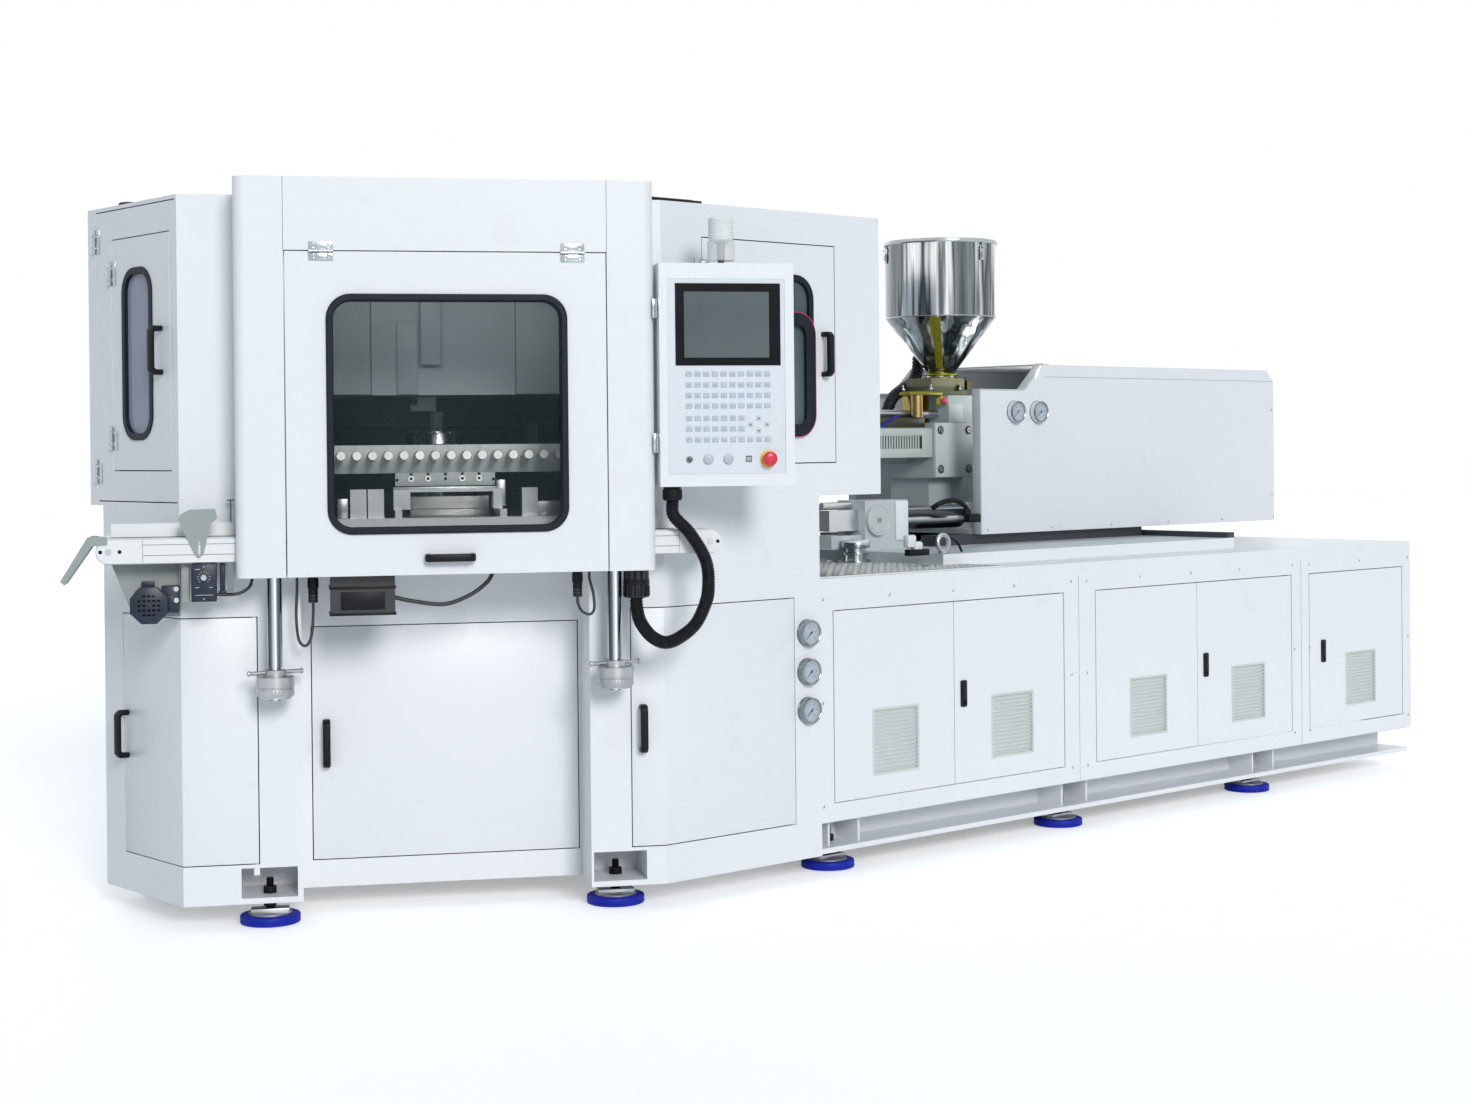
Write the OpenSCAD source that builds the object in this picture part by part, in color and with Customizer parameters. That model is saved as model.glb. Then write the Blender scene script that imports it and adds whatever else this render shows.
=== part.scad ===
// Three-station injection blow moulding machine.
// Everything is laid out from the left end of the base on the machine's centre line,
// then moved so that the origin lies on the floor in the middle of the footprint.

/* [Machine] */
// Width of the narrow left face of the base
left_w = 476; // [440:2:520]
// Half the width of the machine
half_w = 925; // [900:5:960]
// Angle between a station face and the machine's length
station_angle = 30; // [28:1:32]
// Length of the base cabinet
base_l = 1818; // [1790:2:1850]
// Underside of the base and the bed above the floor
base_z = 68; // [60:1:80]
// Top of the base cabinet
base_top = 1190; // [1180:2:1200]
// Top of the upper cabinet
roof_z = 2068; // [2040:2:2080]
// Right end of the upper cabinet
upper_l = 2090; // [2060:2:2120]
// Left face of the upper cabinet behind the centre line
upper_rear = 320; // [300:2:340]
// Thickness of the cabinet sheet
sheet = 5; // [4:1:8]
// Thickness of the floor plate that the feet screw through
floor_t = 16; // [12:1:20]

/* [Recess and doors] */
// Left edge of the knee recess along the station face
recess_s0 = 331; // [325:1:340]
// Right edge of the knee recess along the station face
recess_s1 = 1153; // [1145:1:1160]
// Depth of the knee recess
recess_d = 200; // [180:2:220]
// Top of the knee recess
recess_top = 1030; // [1010:2:1040]
// Thickness of a folded door
door_t = 20; // [16:1:24]
// Gap round a door
gap = 3; // [2:0.5:4]
// Bottom of the base doors
base_door_z0 = 182; // [175:1:190]
// Top of the base doors
base_door_z1 = 876; // [865:1:885]
// Reach of the left folded door round the corner, behind the centre line
left_door_y = 115; // [100:1:130]
// Hinge edge of the left folded door along the station face
left_door_s = 208; // [200:1:215]
// Free edge of the right folded door along the station face
right_door_s = 1275; // [1265:1:1285]
// Hinge edge of the right folded door before the base's end
right_door_end = 111; // [105:1:128]
// Length of a pull handle
pull_l = 140; // [120:2:160]
// Reach of a pull handle
pull_reach = 42; // [36:1:50]
// Width of a handle's bar
pull_w = 22; // [18:1:26]
// Thickness of a handle's bar
pull_bar = 16; // [12:1:20]

/* [Upper doors] */
// Rear edge of the left frame door behind the centre line
frame_door_y = 266; // [260:1:272]
// Margin of the frame door to the cabinet's front corner
frame_door_margin = 13; // [12:1:16]
// Margin of the frame door to the cabinet's top and bottom
frame_door_rim = 14; // [10:1:20]
// Hinge edge of the left window door behind the centre line
side_door_y = 165; // [160:1:170]
// Width of the left window door
side_door_w = 358; // [350:1:365]
// Bottom of the two upper window doors
upper_door_z0 = 1294; // [1285:1:1300]
// Top of the two upper window doors
upper_door_z1 = 1967; // [1960:1:1980]
// Hinge edge of the right window door
right_win_x0 = 1349; // [1340:1:1360]
// Free edge of the right window door
right_win_x1 = 1892; // [1880:1:1900]
// Height of the two upper windows
upper_win_h = 500; // [480:2:510]
// Middle height of the two upper windows
upper_win_z = 1630; // [1620:2:1640]
// Width of the left window
side_win_w = 188; // [180:2:196]
// Width of the right window
right_win_w = 380; // [370:2:390]
// Width of the rubber round a window
rubber_w = 20; // [16:1:24]
// Height of the rubber over the door
rubber_proud = 10; // [6:1:14]
// Thickness of a window pane
pane_t = 6; // [4:1:8]

/* [Station housing] */
// Left edge of the housing along the station face
house_s0 = 157; // [150:1:165]
// Right edge of the housing along the station face
house_s1 = 1323; // [1315:1:1330]
// Width of a post
post_w = 135; // [130:1:140]
// How far the housing stands out from the station face
house_d = 187; // [180:1:195]
// Bottom of the housing
house_z0 = 997; // [990:1:1005]
// Top of the housing
house_z1 = 2100; // [2095:1:2110]
// Bottom of the header over the door
header_z = 1895; // [1885:1:1900]
// Radius of the posts' outer edges
post_r = 28; // [20:1:35]
// Thickness of the front door
front_door_t = 40; // [34:1:44]
// Width of the front window over its rubber
front_win_w = 669; // [650:1:690]
// Height of the front window over its rubber
front_win_h = 666; // [650:1:680]
// Bottom of the front window
front_win_z = 1112; // [1105:1:1118]
// Corner radius of the front window
front_win_r = 69; // [60:1:80]

/* [Control box] */
// Left edge of the control box along the station face
box_s0 = 1333; // [1332:1:1336]
// Width of the control box
box_w = 391; // [380:1:400]
// Bottom of the control box
box_z0 = 1233; // [1225:1:1240]
// Height of the control box
box_h = 635; // [620:1:650]
// Depth of the control box
box_d = 100; // [80:1:110]
// Front of the control box before the station face
box_o = 205; // [203:1:207]
// Diameter of the emergency stop
stop_d = 41; // [38:1:44]
// Diameter of the push buttons
button_d = 26; // [22:1:28]
// Diameter of the corrugated conduit
conduit_d = 38; // [34:1:42]

/* [Turret] */
// Turret axis behind the left face
turret_x = 1020; // [1010:1:1030]
// Distance from the turret axis to a rod face
rod_face = 560; // [550:1:570]
// Number of core rods on a station
rods = 15; // [9:2:15]
// Spacing of the core rods
rod_pitch = 45; // [42:1:46]
// Diameter of a core rod's tip
rod_d = 28; // [24:1:30]
// Length of a core rod
rod_l = 96; // [80:1:100]
// Height of the core rods above the floor, with the turret raised
rod_z = 1329; // [1325:1:1333]
// Thickness of the turret head
head_t = 83; // [78:1:88]
// Diameter of the turret's hub
hub_d = 190; // [170:2:210]
// How far the turret drops as the moulds close
drop = 57; // [50:1:62]
// Travel of the mould clamps
clamp_travel = 160; // [150:2:170]
// Top of the machine table
table_z = 1150; // [1145:1:1155]
// Thickness of the machine table
table_t = 40; // [30:1:50]

/* [Conveyor] */
// Left end of the conveyor along the station face
belt_s0 = -215; // [-225:1:-205]
// Right end of the conveyor along the station face
belt_s1 = 1520; // [1500:1:1540]
// Near side of the conveyor before the station face
belt_o1 = 138; // [134:1:140]
// Width of the conveyor over its side frames
belt_w = 106; // [100:1:110]
// Underside of the conveyor
belt_z = 1042; // [1036:1:1046]
// Height of the conveyor's frame
belt_h = 64; // [60:1:68]
// Height of the guide rail behind the belt
guide_h = 42; // [36:1:44]
// Diameter of the motor
motor_d = 96; // [90:1:100]

/* [Bed] */
// Right end of the bed
bed_l = 5157; // [5120:1:5200]
// Top of the deck
deck_z = 930; // [925:1:935]
// Depth of the deck's folded edge
deck_lip = 48; // [44:1:52]
// Underside of the bed's side panels
panel_z = 175; // [165:1:180]
// Bottom of the bed doors
bed_door_z0 = 228; // [220:1:235]
// Top of the bed doors
bed_door_z1 = 827; // [820:1:832]
// Setback of the bed's bottom beam
beam_back = 20; // [15:1:25]
// Depth of the bottom beam's channel
beam_d = 145; // [135:1:155]
// Side of a ventilation panel
vent_w = 208; // [190:2:220]
// Number of slats in a ventilation panel
slats = 15; // [9:2:17]

/* [Feet] */
// Diameter of a foot pad
pad_d = 171; // [160:1:180]
// Thickness of a foot pad
pad_t = 26; // [22:1:30]
// Diameter of the steel disc on a pad
disc_d = 123; // [110:1:130]
// Diameter of a levelling screw
screw_d = 22; // [20:1:24]

/* [Injection unit] */
// Height of the barrel's axis
barrel_z = 1325; // [1320:1:1330]
// Diameter of the barrel with its heater bands
barrel_d = 130; // [120:2:140]
// Diameter of the screw
screw_core_d = 50; // [45:1:55]
// Middle of the hopper behind the left face
hopper_x = 3356; // [3340:1:3370]
// Diameter of the hopper
hopper_d = 430; // [410:2:440]
// Height of the hopper's rim
hopper_top = 2125; // [2110:1:2130]
// Height of the hopper's straight wall
hopper_wall = 290; // [280:2:300]
// Bottom of the hopper's cone
hopper_z = 1612; // [1600:1:1620]
// Front end of the cover
cover_x0 = 3195; // [3185:1:3205]
// Rear end of the cover
cover_x1 = 5038; // [5020:1:5045]
// Half the width of the cover
cover_y = 350; // [340:1:360]
// Bottom of the cover
cover_z0 = 1010; // [1005:1:1015]
// Top of the cover
cover_z1 = 1646; // [1640:1:1655]
// Height of the low front part of the cover's sides
cover_low = 1546; // [1540:1:1552]
// Diameter of a pressure gauge
gauge_d = 80; // [70:1:85]

/* [Hidden] */
$fn = 48;

white = [0.93, 0.94, 0.96];
cool_white = [0.86, 0.89, 0.92];
black = [0.10, 0.11, 0.13];
steel = [0.72, 0.74, 0.76];
glass = [0.45, 0.55, 0.57, 0.5];
blue = [0.12, 0.18, 0.55];

// Where the slanting station faces meet the long sides
fold_x = (half_w - left_w / 2) / tan(station_angle);
fold_s = (half_w - left_w / 2) / sin(station_angle);
upper_fold_x = (half_w - upper_rear) / tan(station_angle);
base_plan = [[0, left_w / 2], [0, -left_w / 2], [fold_x, -half_w], [base_l, -half_w],
    [base_l, half_w], [fold_x, half_w]];
upper_plan = [[0, upper_rear], [0, -left_w / 2], [fold_x, -half_w], [upper_l, -half_w],
    [upper_l, half_w], [upper_fold_x, half_w]];

// The middle of the footprint: from the chute's tip to the bed's end, and from the
// control box's free edge to the back
chute_reach = 95;
chute_drop = 120;
function face_x(s, o) = s * cos(station_angle) - o * sin(station_angle);
function face_y(s, o) = -left_w / 2 - s * sin(station_angle) - o * cos(station_angle);

// A point of a plan moved inwards by d from both of its edges
function left_normal(v) = [-v[1], v[0]] / norm(v);
function inset(p, d) = [for (i = [0:len(p) - 1])
    let (a = p[(i + len(p) - 1) % len(p)], b = p[i], c = p[(i + 1) % len(p)],
        n1 = left_normal(b - a), n2 = left_normal(c - b))
    b + d * (n1 + n2) / (1 + n1 * n2)];
// The plan of a sheet folded once at b, from t0 to t1 behind its outer line
function folded(a, b, c, t0, t1) =
    let (n1 = left_normal(b - a), n2 = left_normal(c - b), m = (n1 + n2) / (1 + n1 * n2))
    [a + n1 * t0, b + m * t0, c + n2 * t0, c + n2 * t1, b + m * t1, a + n1 * t1];
function on_face(s) = [face_x(s, 0), face_y(s, 0)];

chute_t = 3;
mid_x = (face_x(belt_s0 - chute_reach, belt_o1 + chute_t) + bed_l) / 2;
mid_y = (face_y(box_s0 + box_w, box_o) + half_w) / 2;

module placed() translate([-mid_x, -mid_y, 0]) children();
// The three front faces: x to the right, y inwards, z up
module left_face() rotate([0, 0, -90]) children();
module station() translate([0, -left_w / 2, 0]) rotate([0, 0, -station_angle]) children();
module front_face() translate([0, -half_w, 0]) children();
module turret_axis() translate([turret_x, 0, 0]) children();

module box(x0, x1, y0, y1, z0, z1) translate([x0, y0, z0]) cube([x1 - x0, y1 - y0, z1 - z0]);
module prism(plan, z0, z1) translate([0, 0, z0]) linear_extrude(z1 - z0) polygon(plan);
// A rectangle with round corners, centred
module rounded(w, h, r) {
    square([w - 2 * r, h], center = true);
    square([w, h - 2 * r], center = true);
    for (x = [-1, 1], y = [-1, 1])
        translate([x * (w / 2 - r), y * (h / 2 - r)])
            circle(r);
}
// A plate standing on a face: x and z as given, from y0 to y1 inwards
module upright(y0, y1) translate([0, y1, 0]) rotate([90, 0, 0]) linear_extrude(y1 - y0) children();
module upright_at(y, t) upright(y, y + t) children();
// A vertical pull handle on a face, standing out along -Y
module pull(l = pull_l) translate([-pull_w / 2, 0, 0]) rotate([90, 0, 90]) linear_extrude(pull_w)
    polygon([[0, 0], [-pull_reach + 10, 0], [-pull_reach, 10], [-pull_reach, l - 10],
        [-pull_reach + 10, l], [0, l], [0, l - pull_bar], [-pull_reach + pull_bar, l - pull_bar],
        [-pull_reach + pull_bar, pull_bar], [0, pull_bar]]);

// Pivots of the flush doors: a pin stands in the frame over and under the door, pivot_in
// from its hinge edge and from its outer face
pivot_in = 6;
pivot_d = 6;
module pivots(x, y, z0, z1) {
    for (z = [z0 - gap - 31, z1 + gap + 1])
        box(x - 8, x + 8, y - 4, y + 8, z, z + 30);
    for (z = [z0 - gap - 2, z1 - 12])
        translate([x, y, z])
            cylinder(h = gap + 14, d = pivot_d);
}
module pivot_holes(x, y, z0, z1) for (z = [z0 - 1, z1 - 13])
    translate([x, y, z])
        cylinder(h = 14, d = pivot_d + 0.2);

// ---- Feet -------------------------------------------------------------------
bed_foot_y = half_w - 125;
pocket_s = [237, 1238];
foot_spots = [
    [face_x(pocket_s[0], -74), -face_y(pocket_s[0], -74)],
    [face_x(pocket_s[1], -110), -face_y(pocket_s[1], -110)],
    [base_l + 142, bed_foot_y], [base_l + 1267, bed_foot_y], [base_l + 2382, bed_foot_y]];
pocket_w = 156;
pocket_d = 190;
pocket_top = 169;
screw_top = base_z + floor_t + 44;
nut_t = 20;
module each_foot() for (p = foot_spots, side = [-1, 1])
    translate([p[0], side * p[1], 0])
        children();
module foot_pads() placed() color(blue) each_foot() difference() {
    cylinder(h = pad_t, d = pad_d);
    translate([0, 0, pad_t - 4])
        cylinder(h = 5, d = disc_d);
}
module foot_screws() placed() color(steel) each_foot() {
    translate([0, 0, pad_t - 4])
        cylinder(h = 20, d = disc_d);
    translate([0, 0, pad_t + 16])
        cylinder(h = screw_top - pad_t - 16, d = screw_d);
    for (z = [base_z - nut_t, base_z + floor_t])
        translate([0, 0, z])
            difference() {
                cylinder(h = nut_t, d = 42, $fn = 6);
                translate([0, 0, -1])
                    cylinder(h = nut_t + 2, d = screw_d + 0.4);
            }
}

// ---- Base cabinet -----------------------------------------------------------
module foot_holes() each_foot() translate([0, 0, base_z - 1])
    cylinder(h = floor_t + 2, d = screw_d + 2);
module pocket(grow, top) for (s = pocket_s)
    box(s - pocket_w / 2 - grow, s + pocket_w / 2 + grow, -1 + min(grow, 1), pocket_d + grow,
        base_z + floor_t - min(grow, 1), top + grow);
module left_fold(t0, t1, z0, z1, g) prism(folded([0, left_door_y + g], [0, -left_w / 2],
    on_face(left_door_s + g), t0, t1), z0, z1);
right_door_x = base_l - right_door_end;
module right_fold(t0, t1, z0, z1, g) prism(folded(on_face(right_door_s - g), [fold_x, -half_w],
    [right_door_x + g, -half_w], t0, t1), z0, z1);
recess_door_s0 = 362;
recess_door_s1 = 1142;
recess_door_z0 = 150;
recess_door_z1 = 829;
window_s0 = 300;
window_s1 = 1180;
module base_cabinet() placed() color(white) {
    cabinet_shell();
    station() {
        pivots(left_door_s - pivot_in, pivot_in, base_door_z0, base_door_z1);
        pivots(recess_door_s1 - pivot_in, recess_d + pivot_in, recess_door_z0, recess_door_z1);
    }
    front_face()
        pivots(right_door_x - pivot_in, pivot_in, base_door_z0, base_door_z1);
}
module cabinet_shell() difference() {
    union() {
        difference() {
            prism(base_plan, base_z, base_top);
            prism(inset(base_plan, sheet), base_z + floor_t, base_top + 1);
        }
        for (side = [0, 1])
            mirror([0, side, 0])
                station()
                    pocket(sheet, pocket_top);
        station()
            box(recess_s0 - sheet, recess_s1 + sheet, 1, recess_d + sheet, base_z + 1, recess_top + sheet);
    }
    for (side = [0, 1])
        mirror([0, side, 0])
            station()
                pocket(0, pocket_top);
    station() {
        box(recess_s0, recess_s1, -1, recess_d, base_z - 1, recess_top);
        box(recess_door_s0 - gap, recess_door_s1 + gap, recess_d - 1, recess_d + sheet + 1,
            recess_door_z0 - gap, recess_door_z1 + gap);
        box(window_s0, window_s1, -1, sheet + 1, table_z, base_top + 1);
    }
    left_fold(-1, door_t + 2, base_door_z0 - gap, base_door_z1 + gap, gap);
    right_fold(-1, door_t + 2, base_door_z0 - gap, base_door_z1 + gap, gap);
    foot_holes();
}
module base_door_left() placed() color(white) {
    difference() {
        left_fold(0, door_t, base_door_z0, base_door_z1, 0);
        station()
            pivot_holes(left_door_s - pivot_in, pivot_in, base_door_z0, base_door_z1);
    }
    left_face()
        translate([-left_door_y + 25, 0, 457])
            pull();
}
module base_door_right() placed() color(white) {
    difference() {
        right_fold(0, door_t, base_door_z0, base_door_z1, 0);
        front_face()
            pivot_holes(right_door_x - pivot_in, pivot_in, base_door_z0, base_door_z1);
    }
    station()
        translate([right_door_s + 32, 0, 457])
            pull();
}
module base_door_centre() placed() color(white) station() {
    difference() {
        box(recess_door_s0, recess_door_s1, recess_d, recess_d + door_t, recess_door_z0, recess_door_z1);
        pivot_holes(recess_door_s1 - pivot_in, recess_d + pivot_in, recess_door_z0, recess_door_z1);
    }
    translate([recess_door_s0 + 40, recess_d, 420])
        pull();
}

// ---- Upper cabinet ----------------------------------------------------------
barrel_hole = 260;
// Width of the flange that the upper cabinet stands on
sill = 12;
module upper_cabinet() placed() color(white) difference() {
    union() {
        difference() {
            prism(upper_plan, base_top, roof_z);
            prism(inset(upper_plan, sheet), base_top + sheet, roof_z - sheet);
        }
        translate([118, 60, roof_z])
            cylinder(h = 8, d = 62);
        box(1205, 1330, -700, -500, roof_z, roof_z + 12);
    }
    prism(inset(base_plan, sill), base_top - 1, base_top + sheet + 1);
    left_face()
        box(-frame_door_y - gap, left_w / 2 - frame_door_margin + gap, -1, door_t + 2,
            base_top + frame_door_rim - gap, roof_z - frame_door_rim + gap);
    station()
        box(window_s0, window_s1, -1, sheet + 60, base_top - 1, header_z);
    front_face()
        box(right_win_x0 - gap, right_win_x1 + gap, -1, door_t + 2, upper_door_z0 - gap,
            upper_door_z1 + gap);
    box(upper_l - sheet - 1, upper_l + 1, -barrel_hole / 2, barrel_hole / 2, base_top - 1, 1560);
}

// ---- Machine table, moulds and clamps ---------------------------------------
mould_r0 = rod_face + 8;
mould_r1 = 700;
mould_w = 700;
ram_r = 620;
ram_d = 90;
part_z = rod_z - drop;
module rod_row(l, d, dz = 0) for (i = [0:rods - 1])
    translate([rod_face, (i - (rods - 1) / 2) * rod_pitch, rod_z + dz])
        rotate([0, 90, 0])
            cylinder(h = l, d = d, $fn = 24);
module lower_mould() difference() {
    box(mould_r0, mould_r1, -mould_w / 2, mould_w / 2, table_z, part_z - 1);
    translate([-1, 0, -drop])
        rod_row(rod_l + 4, rod_d + 2);
}
module upper_mould() difference() {
    box(mould_r0, mould_r1, -mould_w / 2, mould_w / 2, part_z + clamp_travel, part_z + clamp_travel + 120);
    translate([-1, 0, clamp_travel - drop])
        rod_row(rod_l + 4, rod_d + 2);
}
module machine_table() placed() color(steel) {
    difference() {
        prism(inset(base_plan, sheet), table_z - table_t, table_z);
        turret_axis()
            translate([0, 0, table_z - table_t - 1])
                cylinder(h = table_t + 2, d = column_d + 0.6);
    }
    turret_axis() {
        lower_mould();
        rotate([0, 0, 180 - station_angle * 2])
            lower_mould();
        // Nozzle plate, outside the circle of the turning rods, and its runner block
        box(mould_r1 + 40, mould_r1 + 64, -110, 110, table_z, barrel_z + 60);
        box(mould_r1 - 1, mould_r1 + 41, -60, 60, table_z, part_z - 1);
        rotate([0, 0, -180 + station_angle * 2]) {
            for (y = stripper_y)
                box(strip_r0 - 60, mould_r1, y - 10, y + 10, table_z, rail_z);
            for (y = [-290, -240, 205])
                box(strip_r0, strip_r1, y, y + 46, table_z, table_z + 82);
        }
    }
}
strip_r0 = 574;
strip_r1 = 640;
rail_z = table_z + 22;
stripper_y = [-155, 145];
module stripper_carriage() placed() color(steel) turret_axis() rotate([0, 0, -180 + station_angle * 2]) {
    difference() {
        box(strip_r0, strip_r1, -175, 165, rail_z, table_z + 80);
        translate([strip_r0 - 1, 0, rail_z + 32])
            rotate([90, 0, 90])
                linear_extrude(strip_r1 - strip_r0 + 2)
                    rounded(250, 40, 10);
    }
    box(strip_r0, strip_r0 + 48, -175, 120, table_z + 80, table_z + 100);
}
module clamp() {
    upper_mould();
    difference() {
        box(mould_r0 - 60, mould_r1 + 30, -mould_w / 2 - 20, mould_w / 2 + 20,
            part_z + clamp_travel + 120, part_z + clamp_travel + 170);
        translate([ram_r, 0, part_z + clamp_travel + 160])
            cylinder(h = 20, d = ram_d);
    }
    translate([ram_r, 0, part_z + clamp_travel + 160])
        cylinder(h = 320, d = ram_d);
}
module injection_clamp() placed() color(steel) turret_axis() clamp();
module blow_clamp() placed() color(steel) turret_axis() rotate([0, 0, 180 - station_angle * 2]) clamp();
ram_z = part_z + clamp_travel + 205;
crown_z = roof_z - sheet - 40;
head_plan = [for (a = [0:60:300]) [430 * cos(a + 30), 430 * sin(a + 30)]];
tie_spots = [[turret_x + 40, -770], [turret_x + 40, 770], [base_l - 118, -420], [base_l - 118, 420]];
module at_rams() turret_axis() for (a = [0, 180 - station_angle * 2])
    rotate([0, 0, a])
        translate([ram_r, 0, 0])
            children();
module head_frame() placed() color(cool_white) difference() {
    union() {
        turret_axis()
            prism(head_plan, rod_z + 181, roof_z - sheet);
        prism(inset(upper_plan, 60), crown_z, roof_z - sheet);
        at_rams()
            translate([0, 0, ram_z])
                cylinder(h = crown_z + 1 - ram_z, d = 150);
        for (p = tie_spots)
            translate([p[0], p[1], table_z])
                cylinder(h = crown_z + 1 - table_z, d = 44);
    }
    at_rams()
        translate([0, 0, ram_z - 1])
            cylinder(h = crown_z - ram_z - 20, d = ram_d + 0.6);
}

// ---- Turret -----------------------------------------------------------------
hub_h = 38;
head_z = rod_z - 52;
column_d = 140;
module turret_column() placed() color(steel) turret_axis() {
    translate([0, 0, base_z + floor_t + drop + 6])
        cylinder(h = head_z - base_z - floor_t - drop - 6, d = column_d);
}
module turret_head() placed() color(steel) turret_axis() {
    translate([0, 0, head_z])
        linear_extrude(head_t)
            polygon([for (k = [0:2], e = [-1, 1])
                let (a = k * 120, w = e * (mould_w / 2 - 5))
                [rod_face * cos(a) - w * sin(a), rod_face * sin(a) + w * cos(a)]]);
    translate([0, 0, head_z + head_t])
        cylinder(h = hub_h, d = hub_d);
}
module core_rods() placed() color(steel) turret_axis() for (k = [0:2])
    rotate([0, 0, k * 120])
        rod_row(rod_l, rod_d);

// ---- Door housing -----------------------------------------------------------
conduit_s = 1277;
conduit_o = 100;
gland_z = 917;
power_s0 = 412;
power_s1 = 590;
power_z = 888;
plug_s = [365, 1110];
plug_z = 920;
rod_s = [259, 1213];
rod_o = 100;
rod_tube_d = 42;
module post_plan(grow) {
    translate([house_s0 + post_r - grow, -house_d - grow])
        square([post_w - post_r + 2 * grow, house_d + grow]);
    translate([house_s0 - grow, -house_d + post_r])
        square([post_w + 2 * grow, house_d - post_r]);
    translate([house_s0 + post_r, -house_d + post_r])
        circle(post_r + grow);
}
module one_post() difference() {
    translate([0, 0, house_z0])
        linear_extrude(house_z1 - house_z0)
            post_plan(0);
    translate([0, 0, house_z0 + sheet])
        linear_extrude(house_z1 - house_z0 - 2 * sheet)
            post_plan(-sheet);
    box(house_s0 - 1, house_s0 + post_w + 1, -belt_o1 - 9, -20, belt_z - 12, belt_z + belt_h + guide_h + 12);
}
module across_house() translate([house_s0 + house_s1, 0, 0]) mirror([1, 0, 0]) children();
module door_housing() placed() color(white) station() {
    one_post();
    across_house()
        one_post();
    difference() {
        box(house_s0 + post_w, house_s1 - post_w, -house_d, 0, header_z + gap, house_z1);
        box(house_s0 + post_w - 1, house_s1 - post_w + 1, -house_d + sheet, -sheet,
            header_z + gap + sheet, house_z1 - sheet);
    }
    box(power_s0, power_s1, -130, -20, power_z, house_z0);
    box(house_s0 + post_w, house_s1 - post_w, -130, 0, house_z0, house_z0 + sheet);
    for (s = plug_s)
        translate([s, -75, plug_z])
            cylinder(h = house_z0 - plug_z, d = 26);
    translate([conduit_s, -conduit_o, gland_z])
        cylinder(h = house_z0 - gland_z, d = 74, $fn = 12);
}
collar_z = 658;
collar_h = 62;
module guide_rods() placed() color(steel) station() for (s = rod_s)
    translate([s, -rod_o, 0]) {
        translate([0, 0, 744])
            cylinder(h = house_z0 - 744, d = rod_tube_d);
        translate([0, 0, collar_z - 6])
            cylinder(h = 745 - collar_z + 5, d = 32);
    }
module adjuster(s) placed() color(steel) station() translate([s, -rod_o, collar_z]) {
    difference() {
        union() {
            cylinder(h = collar_h, d = 104);
            translate([0, 0, collar_h])
                cylinder(h = 18, d = 62);
        }
        translate([0, 0, -1])
            cylinder(h = collar_h + 22, d = 32.6);
    }
    for (a = [20, 200])
        rotate([0, 0, a])
            translate([30.5, 0, collar_h + 10])
                rotate([0, 90, 0])
                    cylinder(h = 46, d = 12);
}
module adjuster_left() adjuster(rod_s[0]);
module adjuster_right() adjuster(rod_s[1]);

// ---- Doors with windows -----------------------------------------------------
module window_hole(x, z, w, h, r, y0, y1) upright(y0, y1) translate([x, z])
    rounded(w, h, r);
module rubber(x, z, w, h, r, t) {
    difference() {
        window_hole(x, z, w, h, r, -rubber_proud, 0);
        window_hole(x, z, w - 2 * rubber_w, h - 2 * rubber_w, r - rubber_w, -rubber_proud - 1, 1);
    }
    difference() {
        window_hole(x, z, w - rubber_w, h - rubber_w, r - rubber_w / 2, 0, t);
        window_hole(x, z, w - 2 * rubber_w, h - 2 * rubber_w, r - rubber_w, -1, t + 1);
        pane(x, z, w, h, r, t);
    }
}
module pane(x, z, w, h, r, t) window_hole(x, z, w - 1.5 * rubber_w, h - 1.5 * rubber_w,
    r - 0.75 * rubber_w, t / 2 - pane_t / 2, t / 2 + pane_t / 2);
module windowed(x0, x1, z0, z1, x, z, w, h, r, t) {
    difference() {
        box(x0, x1, 0, t, z0, z1);
        window_hole(x, z, w - rubber_w, h - rubber_w, r - rubber_w / 2, -1, t + 1);
    }
    rubber(x, z, w, h, r, t);
}
front_mid = (house_s0 + house_s1) / 2;
front_s0 = house_s0 + post_w + gap;
front_s1 = house_s1 - post_w - gap;
front_win_mid = front_win_z + front_win_h / 2;
module on_housing() station() translate([0, -house_d, 0]) children();
module front_door() placed() color(white) on_housing() {
    windowed(front_s0, front_s1, house_z0, header_z, front_mid, front_win_mid, front_win_w,
        front_win_h, front_win_r, front_door_t);
    translate([front_mid + pull_l / 2, 0, 1045])
        rotate([0, -90, 0])
            pull();
    for (s = hinge_s)
        hinge_half(s, -hinge_leaf, -6);
}
hinge_s = [394, 1091];
hinge_w = 67;
hinge_leaf = 26;
pin_d = 9;
axis_out = 5;
module hinge_half(s, z0, z1) box(s - hinge_w / 2, s + hinge_w / 2, -3, 0, header_z + z0, header_z + z1);
module front_window() placed() color(glass) on_housing()
    pane(front_mid, front_win_mid, front_win_w, front_win_h, front_win_r, front_door_t);
side_win_x = -4;
side_r = 74;
side_x0 = -side_door_y;
side_x1 = side_x0 + side_door_w;
module side_frame_door() placed() color(white) left_face() {
    difference() {
        box(-frame_door_y, left_w / 2 - frame_door_margin, 0, door_t, base_top + frame_door_rim,
            roof_z - frame_door_rim);
        box(side_x0 - gap, side_x1 + gap, -1, door_t + 1, upper_door_z0 - gap, upper_door_z1 + gap);
    }
    for (z = door_hinge_z)
        side_hinge(side_x0, z);
}
door_hinge_z = [1387, 1870];
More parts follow.
